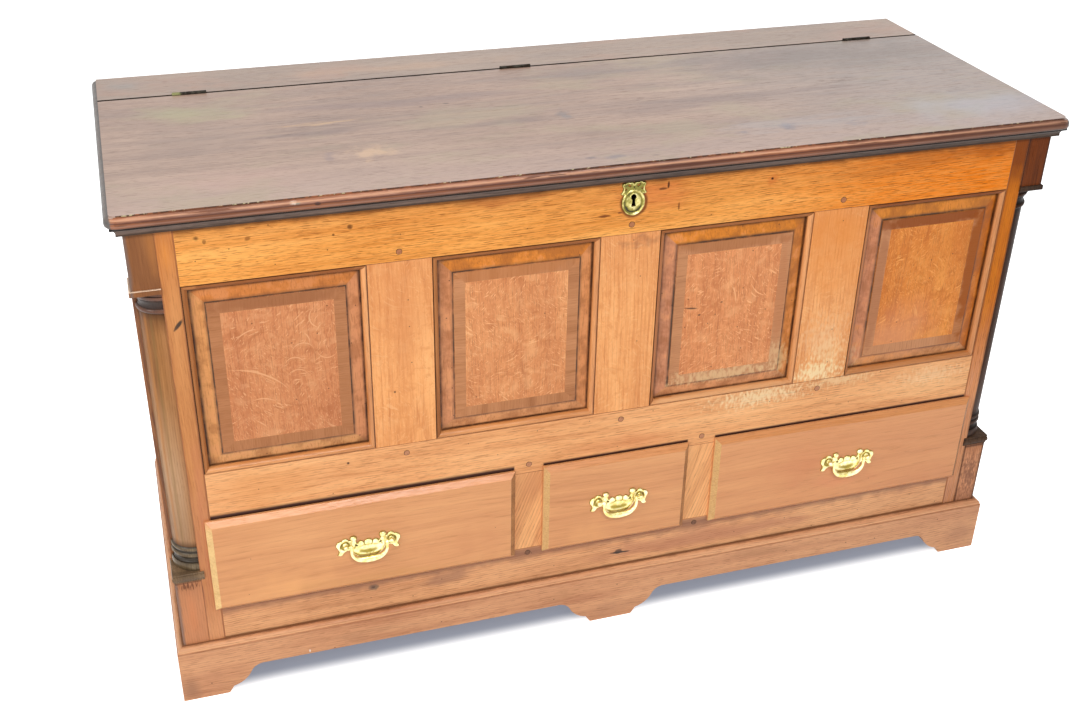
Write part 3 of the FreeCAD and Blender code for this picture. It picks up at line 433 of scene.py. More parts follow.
# flakes on a quarter-sawn face: lean, seed, rarity, the part of the face, fineness down and across
rayKinds = [
    (0.75, 0.0, 0.615, 0.50, 0.62, 250.0, 26.0),
    (-0.3, 3.0, 0.620, 0.48, 0.36, 300.0, 46.0),
    (1.6, 7.0, 0.610, 0.42, 0.54, 340.0, 60.0),
    (-1.2, 11.0, 0.620, 0.56, 0.44, 320.0, 54.0),
]


def addRays(finish, here, place, bent, colour, wood, onField):
    # pale flakes of quarter-sawn oak: tapered curved strokes across the grain, short flecks along it
    along, across, _ = finish.parts(place)
    warp = finish.times(finish.minus(finish.speckle(place, (7.0, 7.0, 7.0), detail=1.0), 0.5), 0.11)
    region = finish.speckle(place, (13, 13, 13), detail=1.0)
    flakes = 0.0
    for tilt, start, floor, low, high, fine, long in rayKinds:
        down = finish.plus(along, finish.plus(warp, finish.times(across, tilt)))
        aside = finish.minus(across, finish.times(along, tilt))
        spread = finish.vector(finish.times(down, fine), finish.plus(finish.times(aside, long), start), start)
        stroke = finish.span(finish.speckle(spread, detail=1.6), floor, floor + 0.07)
        flakes = finish.larger(flakes, finish.times(stroke, finish.span(region, low, high)))
    for stroke in wood.get("strokes", ()):
        flakes = finish.larger(flakes, arcShare(finish, here, *stroke))
    ticks = finish.speckle(bent, (70, 360, 360), detail=1.5)
    curl = finish.speckle(bent, (75, 150, 150), detail=4.0, roughness=0.65, distortion=1.6)
    cloud = finish.speckle(here, (30, 30, 44), detail=5.0, roughness=0.6, distortion=0.6)
    pale = finish.larger(flakes, finish.span(ticks, 0.60, 0.72, 0.0, 0.35))
    pale = finish.larger(pale, finish.span(curl, 0.54, 0.70, 0.0, 0.4))
    pale = finish.larger(pale, finish.span(cloud, 0.52, 0.66, 0.0, 0.42))
    dark = finish.larger(finish.span(curl, 0.48, 0.34, 0.0, 0.5), finish.span(cloud, 0.47, 0.33, 0.0, 0.6))
    if onField is not None:
        pale, dark = finish.times(pale, onField), finish.times(dark, onField)
    colour = finish.mix(dark, colour, wood["dark"])
    return finish.mix(finish.times(pale, wood["rays"]), colour, wood["rayTone"])


def addDirtAndPaintedLight(finish, here, colour, wood, sides):
    # patches, marks, joint lines, holes, painted shade and highlights, and the dirt and painted shade that a
    # piece carries itself
    if "mottle" in wood:
        shade, strength, low = wood["mottle"]
        cloud = finish.speckle(here, (5.0, 9.0, 9.0), detail=5.0, roughness=0.6)
        colour = finish.mix(finish.span(cloud, low, low + 0.16, 0.0, strength), colour, shade)
    if "panel" in wood:
        colour = addPanelLines(finish, here, colour, wood["panel"], sides)
    for mark in wood.get("marks", ()):
        colour = addMark(finish, here, colour, mark)
    for line in wood.get("lines", ()):
        colour = addLine(finish, here, colour, line)
    if "overDrawers" in wood:
        colour = addShadowAboveDrawers(finish, here, colour, wood["overDrawers"])
    colour = addFades(finish, here, colour, wood.get("ends", ()))
    if "specks" in wood:
        colour = addSpecks(finish, here, colour, wood["specks"])
    grime = finish.attribute("grime")["Fac"]
    return finish.mix(finish.times(grime, 0.85), colour, wood.get("grime", (74, 46, 28)))


def woodFinish(name, wood):
    finish = Finish(bpy.data.materials.new(name))
    place = finish.attribute("grainPlace")["Vector"]
    here = finish.here()
    # the grain sways a little along the board
    drift = finish.speckle(place, (1.7, 5.0, 5.0))
    sway = finish.times(finish.minus(drift, 0.5), wood.get("sway", 26.0) * mm)
    bent = finish.vectors("ADD", place, finish.vector(0.0, sway, sway))
    spacing = wood.get("ringSpacing", 3.4) * mm
    wave = {"Vector": bent, "Scale": 2 * math.pi / 20 / spacing, "Distortion": 1.4, "Detail": 2.0,
            "Detail Scale": 0.35}
    rings = finish.add("ShaderNodeTexWave", wave, wave_type="RINGS", rings_direction="X",
                       wave_profile="SAW").outputs[1]
    early = finish.span(rings, 0.42, 0.05)
    streak = finish.speckle(bent, (2.6, 52, 52), detail=4.0, roughness=0.62)
    fibre = finish.speckle(bent, (16, 520, 520))
    patch = finish.speckle(here, (3.1, 3.1, 3.1))
    blend = finish.plus(finish.times(streak, 0.62), finish.times(patch, 0.38))
    colour = finish.ramp(blend, [(0.36, wood["dark"]), (0.5, wood["mid"]), (0.63, wood["pale"])])
    colour = addFades(finish, here, colour, wood.get("fades", ()))
    # rings and fibres
    colour = finish.mix(finish.times(early, wood.get("ringDepth", 0.25)), colour, wood["ring"])
    fine = finish.span(fibre, 0.36, 0.64, 0.0, wood.get("fibre", 0.3))
    colour = finish.mix(fine, colour, wood["pale"])
    # open pores: small dark strokes, thickest in the early wood, and dashes where they crowd
    strokes = finish.speckle(bent, (46, 900, 900), detail=1.0)
    dashes = finish.speckle(bent, wood.get("dashGrain", (42, 470, 470)), roughness=0.6)
    crowd = finish.span(early, 0.0, 1.0, 0.45, 1.0)
    poreSmall = finish.times(finish.span(strokes, 0.58, 0.68), crowd)
    poreLong = finish.times(finish.span(dashes, 0.535, 0.63), crowd)
    pores = finish.larger(finish.times(poreSmall, 0.7), poreLong)
    colour = finish.mix(finish.times(pores, wood.get("poreDepth", 0.5)), colour, wood["pore"])
    onField = sides = None
    if "panel" in wood:
        depth = finish.smaller(*insetOf(finish, here, wood["panel"]))
        onField = finish.span(depth, 30.6 * mm, 31.6 * mm)
        sides = panelSides(finish, here, wood["panel"])
        colour = addBevel(finish, here, colour, wood, sides, onField, poreLong)
    if "rays" in wood:
        colour = addRays(finish, here, place, bent, colour, wood, onField)
    finish.give("Base Color", addDirtAndPaintedLight(finish, here, colour, wood, sides))
    gloss = wood.get("gloss", 0.40)
    rough = finish.span(streak, 0.3, 0.7, gloss - 0.05, gloss + 0.06)
    finish.give("Roughness", finish.plus(rough, finish.times(pores, 0.2)))
    finish.give("Specular IOR Level", wood.get("specular", 0.5))
    finish.give("Coat Weight", wood.get("coat", 0.0))
    finish.give("Coat Roughness", 0.28)
    height = finish.minus(finish.times(fibre, 0.25), pores)
    height = finish.plus(height, finish.times(streak, 0.5))
    bump = {"Height": height, "Strength": wood.get("bump", 0.25), "Distance": 0.0006}
    finish.give("Normal", finish.add("ShaderNodeBump", bump).outputs[0])
    return finish.owner


def metalFinish(name, metal):
    finish = Finish(bpy.data.materials.new(name))
    here = finish.here()
    cloud = finish.speckle(here, (95, 95, 95), detail=4.0, roughness=0.65)
    grain = finish.speckle(here, (900, 900, 900))
    colour = finish.ramp(cloud, [(0.34, metal["dark"]), (0.5, metal["mid"]), (0.64, metal["pale"])])
    tarnishAndShade = finish.attribute("grime")["Fac"]
    spotted = finish.plus(tarnishAndShade, finish.span(cloud, 0.6, 0.3, 0.0, metal["spots"]))
    colour = finish.mix(finish.span(spotted, 0.05, 0.55), colour, metal["tarnishAndShade"])
    colour = finish.mix(finish.span(spotted, 0.6, 1.05), colour, metal["deep"])
    for mark in metal.get("marks", ()):
        colour = addMark(finish, here, colour, mark)
    finish.give("Base Color", colour)
    finish.give("Metallic", finish.span(spotted, 1.2, 0.4, 0.35, 1.0))
    rough = finish.span(cloud, 0.3, 0.7, metal["gloss"], metal["gloss"] + 0.14)
    finish.give("Roughness", finish.plus(rough, finish.times(tarnishAndShade, 0.25)))
    height = finish.plus(cloud, finish.times(grain, 0.4))
    bump = {"Height": height, "Strength": metal["bump"], "Distance": 0.0003}
    finish.give("Normal", finish.add("ShaderNodeBump", bump).outputs[0])
    return finish.owner


def spot(x, z, wide, tall, shade, strength, **more):
    # a mark on the front
    return {"at": (x, -265, z), "size": (wide, 30, tall), "tone": shade, "strength": strength, **more}


def topMark(x, y, wide, deep, shade, strength, **more):
    # a mark on the top
    return {"at": (x, y, 855), "size": (wide, deep, 20), "tone": shade, "strength": strength, **more}


def chip(x, y, z, wide, tall, shade, ragged):
    # a small loss along the lid's front edge
    return {"at": (x, y, z), "size": (wide, 6, tall), "tone": shade, "strength": 0.9, "ragged": ragged}


def backBoard(x, shade, strength):
    # one whole board of the back, a little off the others
    return {"at": (x, 290, 480), "size": (99, 200, 3000), "tone": shade, "strength": strength,
            "ragged": 0.0, "core": 0.9}


bloom = {"ragged": 1.4, "core": 0.0, "grain": (240, 90, 110)}
soft = {"ragged": 0.7, "core": 0.0, "grain": (16, 16, 16)}
streaky = {"ragged": 1.5, "core": 0.0, "grain": (8, 40, 30)}
inky = {"ragged": 1.2, "core": 0.0}
crisp = {"ragged": 0.4, "core": 0.8}
even = {"ragged": 0.5, "core": 0.5}

railWood = {"pale": (246, 170, 88), "mid": (232, 148, 66), "dark": (212, 122, 46), "ring": (192, 104, 38),
            "pore": (116, 58, 20), "ringSpacing": 3.2, "specular": 0.3}
woods = {
    "topRail": {
        **railWood, "pale": (252, 182, 100), "mid": (238, 160, 78), "dark": (214, 132, 54), "poreDepth": 0.85,
        "pore": (128, 64, 22), "ringDepth": 0.14, "specular": 0.12, "cut": "quarter", "sway": 12.0,
        "dashGrain": (44, 780, 780), "specks": (17, 0.35, 1.2),
        # the darkening towards the top and the line at 825 are painted shadow under the cornice and the lid
        "fades": [(0, 90, 600, (238, 124, 0), 0.92), (2, 760, 822, (178, 96, 40), 0.38)],
        "lines": [(2, 825, 17, 0.85, (112, 62, 30))],
        "marks": [
            spot(30, 795, 90, 34, (214, 118, 66), 0.55, ragged=0.8, core=0.0, grain=(20, 60, 60)),
            spot(640, 808, 110, 44, (140, 68, 16), 0.5, **streaky),
            spot(480, 800, 200, 26, (164, 84, 24), 0.4, **streaky),
            spot(-150, 812, 120, 14, (168, 90, 44), 0.5, **streaky),
            spot(59, 808, 2.2, 7, (66, 32, 14), 0.9, ragged=0.6),
            spot(50, 803, 9, 2.4, (84, 44, 22), 0.8, ragged=0.6),
            spot(78, 772, 1.8, 8, (110, 56, 26), 0.75, ragged=0.6),
            spot(-41, 769, 14, 2.2, (104, 50, 24), 0.85),
            spot(-16, 772, 5, 1.8, (104, 50, 24), 0.8),
            spot(229, 800, 12, 11, (196, 96, 40), 0.6, core=0.2),
            spot(229, 800, 3.6, 3.4, (56, 28, 14), 1.0, ragged=0.5),
            spot(-626, 805, 5.5, 4, (96, 60, 30), 0.8, ragged=1.3, core=0.1),
            spot(-616, 798, 3, 4, (120, 74, 34), 0.7, ragged=1.0),
            spot(-558, 797, 4.5, 3, (136, 78, 34), 0.7, ragged=1.3, core=0.1),
            spot(-418, 798, 5, 5, (98, 54, 24), 0.85, ragged=1.2, core=0.1),
            spot(-441, 788, 2, 2, (92, 50, 20), 0.8),
            # painted shade: black inside the keyhole
            spot(4, 791, 9, 15, (12, 8, 5), 1.0, ragged=0.0, core=0.9),
            spot(5, 786, 19.5, 22, (112, 60, 30), 0.85, ring=0.2, ragged=0.12)]},
    "middleRail": {
        **railWood, "pale": (248, 188, 130), "mid": (234, 166, 108), "dark": (210, 138, 82),
        "ring": (190, 116, 62), "poreDepth": 0.5, "ringDepth": 0.16, "specks": (19, 0.4, 1.1),
        "dashGrain": (40, 560, 560),
        # painted shadow along the rail above the drawers' lips
        "overDrawers": {"z": 341, "reach": (9.0, 5.5), "muntin": 150.75, "tone": (46, 12, 0)},
        "marks": [
            spot(250, 408, 110, 22, (246, 220, 172), 0.7, **bloom),
            spot(400, 416, 80, 14, (242, 212, 162), 0.5, **bloom),
            spot(580, 398, 90, 22, (246, 208, 160), 0.45, **bloom),
            spot(30, 360, 120, 22, (206, 122, 72), 0.4, **soft),
            spot(-570, 380, 120, 60, (216, 142, 76), 0.35, **soft),
            spot(-441, 404, 2.4, 2.4, (60, 34, 18), 0.95, ragged=0.4)]},
    "bottomRail": {
        **railWood, "pale": (236, 178, 128), "mid": (218, 156, 108), "dark": (188, 126, 82),
        "ring": (164, 100, 60), "ringDepth": 0.3, "poreDepth": 0.45, "specks": (19, 0.4, 1.2),
        # painted shade under the drawer lips at 168; the line at 107 is the joint with the plinth
        "lines": [(2, 168, 22, 0.75, (122, 76, 60)), (2, 107, 5, 0.75, (96, 52, 24))],
        "marks": [
            spot(190, 132, 230, 20, (176, 112, 84), 0.55, **streaky),
            spot(-290, 142, 60, 12, (150, 104, 80), 0.6, **streaky),
            spot(-414, 154, 10, 7, (100, 84, 66), 0.8), spot(-414, 154, 4, 3, (60, 46, 34), 0.8),
            spot(16, 132, 24, 2.6, (44, 30, 22), 1.0, turn=-3, ragged=0.5),
            spot(14, 134, 8, 5, (56, 38, 28), 0.85, ragged=0.9)]},
    "muntin": {
        **railWood, "pale": (248, 180, 116), "mid": (238, 164, 100), "dark": (218, 140, 78),
        "ring": (190, 110, 54), "ringSpacing": 6.4, "ringDepth": 0.24, "poreDepth": 0.42,
        "pore": (186, 98, 48), "dashGrain": (17, 400, 400),
        "specks": (17, 0.4, 1.2), "rays": 0.25, "rayTone": (252, 206, 150),
        "fades": [(2, 600, 736, (204, 124, 66), 0.5)],
        "marks": [
            spot(357, 690, 110, 130, (226, 134, 48), 0.6, **soft),
            spot(-350, 640, 80, 110, (208, 132, 78), 0.4, **soft),
            spot(355, 500, 60, 60, (240, 196, 150), 0.45, **bloom),
            spot(350, 438, 56, 30, (248, 226, 176), 0.8, **bloom),
            spot(366, 470, 40, 50, (244, 204, 150), 0.45, **bloom),
            spot(20, 722, 40, 14, (150, 92, 62), 0.55, ragged=1.4, core=0.0),
            spot(-364, 519, 2.2, 2.2, (90, 52, 28), 0.9, ragged=0.4)]},
    "drawerMuntin": {
        **railWood, "pale": (250, 188, 128), "mid": (238, 172, 112), "dark": (208, 138, 84),
        "ring": (176, 102, 54), "ringSpacing": 4.2, "ringDepth": 0.42, "poreDepth": 0.4, "sway": 60.0,
        "pore": (150, 84, 44), "marks": [spot(-150, 310, 44, 60, (202, 136, 88), 0.5, **soft)]},
    "post": {
        **railWood, "pale": (210, 144, 86), "mid": (192, 124, 68), "dark": (164, 98, 50),
        "ring": (156, 90, 46), "ringDepth": 0.16, "poreDepth": 0.25,
        "fades": [(2, 660, 800, (188, 106, 36), 0.65), (2, 440, 330, (186, 120, 84), 0.6),
                  (2, 200, 120, (222, 156, 110), 0.7),
                  (0, -694, -716, (104, 64, 44), 0.95)],
        "lines": [(0, -681, 3.4, 0.85, (92, 52, 30)), (0, -655.5, 2.2, 0.7, (110, 58, 30))],
        "marks": [
            spot(-668, 790, 12, 40, (224, 142, 60), 0.5, **soft),
            spot(-664, 400, 14, 120, (196, 118, 84), 0.45, **soft),
            spot(-663, 678, 4, 15, (58, 40, 26), 1.0, turn=-38, ragged=0.5),
            spot(-668, 672, 3, 9, (84, 54, 34), 0.8, turn=-38, ragged=0.8)]},
    "postRight": {
        **railWood, "pale": (214, 124, 26), "mid": (192, 102, 16), "dark": (152, 74, 12),
        "ring": (130, 62, 14), "ringDepth": 0.2, "poreDepth": 0.4, "specular": 0.15, "specks": (22, 0.6, 1.5),
        "lines": [(0, 681, 5, 0.85, (66, 32, 14)), (0, 656, 2.4, 0.6, (110, 58, 22))],
        "fades": [(2, 560, 300, (226, 164, 124), 0.9), (2, 190, 130, (188, 134, 104), 0.7),
                  (0, 694, 716, (104, 64, 44), 0.95)],
        "marks": [spot(668, 800, 50, 84, (116, 52, 6), 0.88, core=0.3, ragged=0.5, grain=(16, 16, 16))]},
    "side": {
        **railWood, "pale": (196, 136, 88), "mid": (176, 118, 74), "dark": (146, 92, 56),
        "ring": (134, 82, 48), "ringDepth": 0.25, "poreDepth": 0.4},
    "sidePanel": {
        **railWood, "pale": (190, 124, 78), "mid": (168, 106, 64), "dark": (140, 84, 48),
        "ring": (130, 76, 44), "ringDepth": 0.2, "rays": 0.4, "rayTone": (206, 148, 100),
        "poreDepth": 0.4, "cut": "quarter"},
    "sidePost": {
        **railWood, "pale": (140, 92, 62), "mid": (118, 74, 50), "dark": (94, 58, 38),
        "ring": (84, 50, 34), "ringDepth": 0.25, "poreDepth": 0.35},
    "block": {
        "pale": (152, 98, 56), "mid": (132, 82, 46), "dark": (108, 64, 34), "ring": (98, 58, 32),
        "pore": (76, 44, 24), "gloss": 0.4, "ringDepth": 0.12, "fibre": 0.1, "poreDepth": 0.15,
        "specular": 0.2, "fades": [(2, 300, 180, (208, 140, 98), 0.9)],
        # painted shade on the block's outer edge at -719; a dark line under the cap at 229
        "lines": [(0, -719, 5, 0.75, (112, 98, 92)), (2, 229, 3, 0.7, (84, 48, 30))],
        "marks": [spot(-686, 800, 9, 70, (176, 112, 58), 0.6, **soft),
                  spot(-700, 222, 15, 7, (104, 58, 36), 0.85, grain=(520, 30, 60), ragged=2.4, core=0.3),
                  spot(-700, 165, 14, 60, (214, 132, 84), 0.5, **soft)]},
    "blockRight": {
        "pale": (142, 70, 26), "mid": (114, 54, 16), "dark": (82, 38, 12), "ring": (74, 34, 12),
        "pore": (44, 20, 10), "gloss": 0.5, "ringDepth": 0.2, "poreDepth": 0.3, "specular": 0.12,
        "fades": [(2, 300, 180, (232, 166, 124), 0.9), (2, 150, 108, (144, 96, 74), 0.5)],
        "lines": [(0, 719, 6, 0.8, (60, 34, 24)), (0, 681, 3, 0.8, (60, 34, 24)),
                  (2, 228, 6, 0.8, (66, 40, 30))],
        "marks": [spot(700, 165, 26, 60, (120, 78, 62), 0.7, **bloom)]},
    "cap": {
        "pale": (152, 122, 92), "mid": (116, 92, 66), "dark": (82, 64, 46), "ring": (76, 58, 42),
        "pore": (54, 42, 30), "gloss": 0.36, "ringDepth": 0.2, "fibre": 0.15, "coat": 0.05, "specular": 0.2},
    # a painted highlight on the upward-facing top edges of the left caps
    "capLine": {
        "pale": (236, 208, 182), "mid": (218, 188, 160), "dark": (182, 148, 120), "ring": (176, 144, 118),
        "pore": (120, 90, 70), "gloss": 0.3, "ringDepth": 0.1, "fades": [(0, 0, 300, (120, 90, 66), 1.0)]},
    # the right caps: a darker copy in painted shade, on the side away from the light
    "capRight": {
        "pale": (96, 70, 52), "mid": (66, 48, 36), "dark": (42, 30, 24), "ring": (40, 28, 22),
        "pore": (26, 18, 14), "gloss": 0.5, "specular": 0.1, "ringDepth": 0.2},
    "column": {
        "pale": (184, 132, 82), "mid": (160, 109, 64), "dark": (126, 82, 44), "ring": (116, 74, 40),
        "pore": (74, 46, 26), "gloss": 0.42, "ringDepth": 0.2, "fibre": 0.12, "poreDepth": 0.2,
        "specular": 0.1,
        "fades": [(2, 600, 380, (192, 158, 126), 0.7), (2, 440, 280, (150, 114, 86), 0.7),
                  (0, -708, -717, (78, 52, 34), 0.9),
                  (0, -692, -682, (182, 128, 84), 0.5), (2, 655, 690, (92, 56, 30), 0.7)],
        "lines": [(0, -706.5, 3.0, 0.45, (176, 112, 52)), (0, -699, 3.4, 0.35, (118, 96, 56))]},
    "columnHead": {
        "pale": (128, 84, 62), "mid": (102, 64, 46), "dark": (72, 44, 32), "ring": (64, 40, 30),
        "pore": (40, 26, 20), "gloss": 0.36, "ringDepth": 0.2, "fibre": 0.12, "coat": 0.1,
        "specular": 0.25, "grime": (30, 20, 16)},
    "columnRing": {
        "pale": (126, 108, 82), "mid": (100, 82, 58), "dark": (68, 54, 38), "ring": (60, 48, 34),
        "pore": (38, 30, 22), "gloss": 0.32, "ringDepth": 0.2, "fibre": 0.12, "coat": 0.05,
        "specular": 0.25, "grime": (30, 23, 17)},
    # the right column: a dark copy in painted shade, with a lighter painted sheen low down
    "columnRight": {
        "pale": (84, 44, 18), "mid": (56, 30, 14), "dark": (38, 20, 12), "ring": (32, 18, 11),
        "pore": (22, 13, 9), "gloss": 0.4, "specular": 0.06, "ringDepth": 0.2, "grime": (16, 11, 8),
        "fades": [(2, 420, 300, (92, 78, 72), 0.7)]},
    "drawerFront": {
        **railWood, "pale": (226, 162, 108), "mid": (216, 150, 97), "dark": (202, 135, 84),
        "ring": (196, 124, 74), "ringDepth": 0.14, "poreDepth": 0.16, "ringSpacing": 4.6, "fibre": 0.2,
        "coat": 0.2, "gloss": 0.34, "specks": (13, 0.3, 0.9), "dashGrain": (18, 420, 420),
        "fades": [(0, 60, 400, (212, 136, 86), 0.5)],
        "marks": [
            spot(-260, 225, 110, 60, (198, 126, 80), 0.45, **soft),
            spot(-430, 188, 150, 26, (206, 146, 84), 0.4, **streaky),
            spot(330, 262, 120, 46, (206, 122, 78), 0.45, **soft),
            spot(590, 196, 90, 50, (200, 124, 78), 0.4, **soft),
            spot(70, 262, 60, 46, (208, 132, 82), 0.4, **soft),
            spot(-560, 200, 120, 46, (244, 176, 112), 0.55, **soft),
            spot(-60, 200, 60, 40, (240, 174, 112), 0.5, **soft),
            spot(430, 215, 110, 24, (222, 134, 92), 0.5, **soft)]},
    "drawerTop": {
        **railWood, "pale": (232, 162, 106), "mid": (220, 148, 92), "dark": (198, 124, 70),
        "ring": (188, 114, 62), "ringDepth": 0.14, "poreDepth": 0.3, "gloss": 0.28, "coat": 0.2,
        "specular": 0.35, "bump": 0.2, "fades": [(0, -200, -120, (200, 130, 70), 0.85)]},
    # bevels that face right: a darker copy in painted shade
    "drawerRight": {
        **railWood, "pale": (196, 142, 94), "mid": (170, 118, 74), "dark": (136, 92, 56),
        "ring": (124, 80, 48), "ringDepth": 0.2, "poreDepth": 0.4, "specular": 0.2},
    # bevels that face left: a paler copy with painted light from the left
    "drawerBevel": {
        **railWood, "pale": (236, 200, 134), "mid": (226, 184, 118), "dark": (208, 162, 98),
        "ring": (208, 154, 92), "ringDepth": 0.14, "poreDepth": 0.25, "gloss": 0.3, "coat": 0.2,
        "fades": [(2, 322, 336, (222, 152, 98), 0.9), (0, -400, -200, (194, 146, 88), 0.85)]},
    # left and top strips: the shaded copy, darker because these strips face away from the light; its
    # top-strip marks add painted shade
    "moulding": {
        **railWood, "pale": (198, 130, 76), "mid": (174, 110, 62), "dark": (138, 80, 38),
        "ring": (130, 72, 34), "ringDepth": 0.15, "grime": (34, 14, 4), "gloss": 0.36, "poreDepth": 0.3,
        "specular": 0.14,
        "marks": [spot(56, 580, 8, 150, (190, 124, 84), 0.6, **crisp),
                  spot(409, 580, 8, 150, (198, 132, 90), 0.7, **crisp),
                  spot(530, 731, 140, 8, (126, 62, 20), 0.7, **crisp),
                  spot(-527, 731, 140, 8, (136, 76, 38), 0.7, **crisp),
                  spot(-173, 731, 140, 8, (140, 80, 40), 0.5, **crisp),
                  spot(180, 731, 140, 8, (140, 80, 40), 0.45, **crisp)]},
    # right and bottom strips: the lit copy, lighter because these strips face the light; its pale mark is a
    # painted highlight
    "mouldingLit": {
        **railWood, "pale": (232, 164, 104), "mid": (212, 142, 84), "dark": (176, 108, 56),
        "ring": (180, 112, 60), "ringDepth": 0.15, "grime": (70, 32, 10), "gloss": 0.28,
        "coat": 0.2, "poreDepth": 0.35, "fades": [(0, 420, 660, (186, 118, 64), 0.8)],
        "marks": [spot(180, 427, 140, 8, (232, 178, 126), 0.4, **crisp),
                  spot(530, 427, 140, 8, (172, 106, 52), 0.6, **crisp)]},
    "banding": {
        "pale": (200, 140, 98), "mid": (184, 124, 82), "dark": (160, 102, 64), "ring": (154, 96, 58),
        "pore": (124, 76, 46), "ringDepth": 0.16, "fibre": 0.2, "poreDepth": 0.3, "specular": 0.14,
        "fades": [(0, -300, -420, (164, 106, 68), 0.6), (0, 20, 120, (200, 142, 102), 0.7),
                  (0, 560, 610, (170, 96, 40), 0.6)],
        "marks": [spot(-525, 700, 130, 22, (146, 90, 56), 0.6, **even),
                  spot(-180, 700, 130, 22, (182, 112, 62), 0.5, **even),
                  spot(175, 700, 130, 22, (162, 100, 58), 0.6, **even),
                  spot(268, 590, 14, 120, (186, 118, 76), 0.45, **even),
                  spot(530, 700, 130, 22, (134, 62, 4), 0.85, core=0.6, ragged=0.5),
                  spot(620, 600, 20, 150, (148, 72, 4), 0.8, core=0.6, ragged=0.5),
                  spot(445, 580, 14, 150, (164, 104, 70), 0.55, **even),
                  spot(170, 462, 130, 20, (230, 194, 146), 0.6, **bloom),
                  spot(272, 480, 26, 40, (236, 204, 154), 0.35, **bloom)]},
    "panel": {
        **railWood, "pale": (226, 156, 104), "mid": (208, 134, 84), "dark": (182, 108, 60),
        "ring": (176, 100, 54), "ringDepth": 0.16, "rays": 0.6, "rayTone": (248, 200, 148),
        "poreDepth": 0.45, "cut": "quarter", "pore": (132, 70, 34), "bevelDark": (140, 76, 30),
        "specks": (21, 0.45, 1.3),
        # per-side bevel tones: painted light and shade
        "bevels": {"left": (190, 124, 84), "right": (196, 126, 80), "top": (204, 124, 48),
                   "bottom": (190, 126, 80)}},
    "darkMoulding": {
        "pale": (134, 112, 100), "mid": (104, 86, 78), "dark": (70, 57, 52), "ring": (60, 48, 44),
        "pore": (30, 24, 22), "gloss": 0.42, "ringDepth": 0.2, "specular": 0.2,
        "fades": [(0, 300, 700, (46, 42, 40), 0.75)],
        # a dark line at the cornice's foot, a painted highlight along it at 831.5, and painted shadow under
        # the lid's overhang at 836
        "lines": [(2, 824, 3.4, 0.9, (54, 36, 22)), (2, 831.5, 2.2, 0.5, (140, 130, 124)),
                  (2, 836, 5.0, 1.0, (10, 7, 6))]},
    "plinth": {
        **railWood, "pale": (226, 168, 124), "mid": (210, 150, 108), "dark": (186, 124, 86),
        "ring": (166, 106, 72), "ringDepth": 0.24, "poreDepth": 0.4, "dashGrain": (46, 420, 420),
        "specks": (16, 0.4, 1.4),
        # the joint at 107, a thin dark line at 96 and a painted highlight along the bead at 99.5
        "lines": [(2, 107, 2.5, 0.75, (96, 54, 26)), (2, 96, 1.3, 0.5, (128, 80, 50)),
                  (2, 99.5, 1.3, 0.5, (244, 190, 140))],
        "marks": [spot(-690, 30, 60, 40, (178, 118, 86), 0.5, **soft),
                  spot(-716, 24, 22, 46, (136, 96, 72), 0.55, **soft),
                  spot(-420, 62, 110, 20, (172, 126, 92), 0.5, **streaky),
                  spot(6, 22, 90, 26, (154, 106, 80), 0.5, **soft),
                  spot(-60, 74, 120, 18, (180, 128, 84), 0.45, **streaky),
                  spot(300, 84, 120, 12, (170, 118, 82), 0.45, **streaky),
                  spot(700, 34, 44, 40, (160, 108, 80), 0.5, **soft),
                  spot(-300, 92, 300, 8, (176, 114, 76), 0.45, **streaky),
                  spot(-559, 40, 2.6, 2.6, (246, 243, 240), 1.0, ragged=0.3),
                  spot(-525, 56, 1.8, 4.6, (246, 243, 240), 1.0, ragged=0.3)]},
    "lid": {
        "pale": (168, 139, 121), "mid": (146, 116, 99), "dark": (120, 92, 78), "ring": (116, 90, 77),
        "pore": (84, 64, 53), "ringDepth": 0.16, "gloss": 0.34, "coat": 0.3, "cut": "plain",
        "ringSpacing": 5.0, "bump": 0.16, "poreDepth": 0.5, "fibre": 0.45,
        "mottle": ((150, 136, 106), 0.4, 0.49),
        # the greyer right half is a painted reflection of the pale surroundings
        "fades": [(0, 60, 700, (136, 128, 126), 0.75), (1, -130, -270, (170, 144, 134), 0.55)],
        "lines": [(1, 180.4, 4.0, 1.0, (36, 26, 20))],
        "marks": [
            topMark(-358, -142, 42, 34, (196, 160, 126), 0.6, ragged=0.9, core=0.2),
            topMark(-600, 82, 110, 50, (152, 146, 104), 0.5, ragged=1.2, core=0.0, grain=(14, 30, 30)),
            topMark(-420, -45, 130, 14, (108, 86, 80), 0.6, ragged=1.4, core=0.0, grain=(10, 40, 30)),
            topMark(-400, -6, 60, 8, (190, 150, 106), 0.6, ragged=1.6, core=0.0, grain=(24, 120, 30)),
            topMark(-421, -145, 12, 22, (116, 96, 98), 0.5, **inky),
            topMark(-247, 28, 4, 4, (84, 60, 50), 0.8), topMark(-205, 33, 5, 3, (84, 60, 50), 0.8),
            topMark(-38, -65, 14, 40, (98, 94, 96), 0.6, **inky),
            topMark(-59, -245, 12, 5, (88, 74, 78), 0.7, ragged=1.0, core=0.0),
            topMark(37, -259, 10, 3, (92, 78, 78), 0.7, ragged=1.0, core=0.0),
            topMark(281, -199, 26, 18, (100, 94, 104), 0.7, **inky),
            topMark(391, -214, 20, 15, (98, 96, 110), 0.7, **inky),
            topMark(206, -206, 16, 11, (104, 96, 104), 0.6, **inky),
            topMark(-12, -250, 34, 9, (104, 94, 100), 0.6, **inky),
            topMark(150, -60, 420, 34, (108, 84, 78), 0.5, **streaky),
            topMark(-250, 60, 300, 26, (122, 96, 90), 0.45, **streaky),
            topMark(300, 120, 520, 60, (112, 92, 86), 0.6, **streaky),
            topMark(520, 110, 480, 170, (108, 94, 86), 0.6, **soft),
            # painted bluish reflection on the right of the top, in this mark and the next
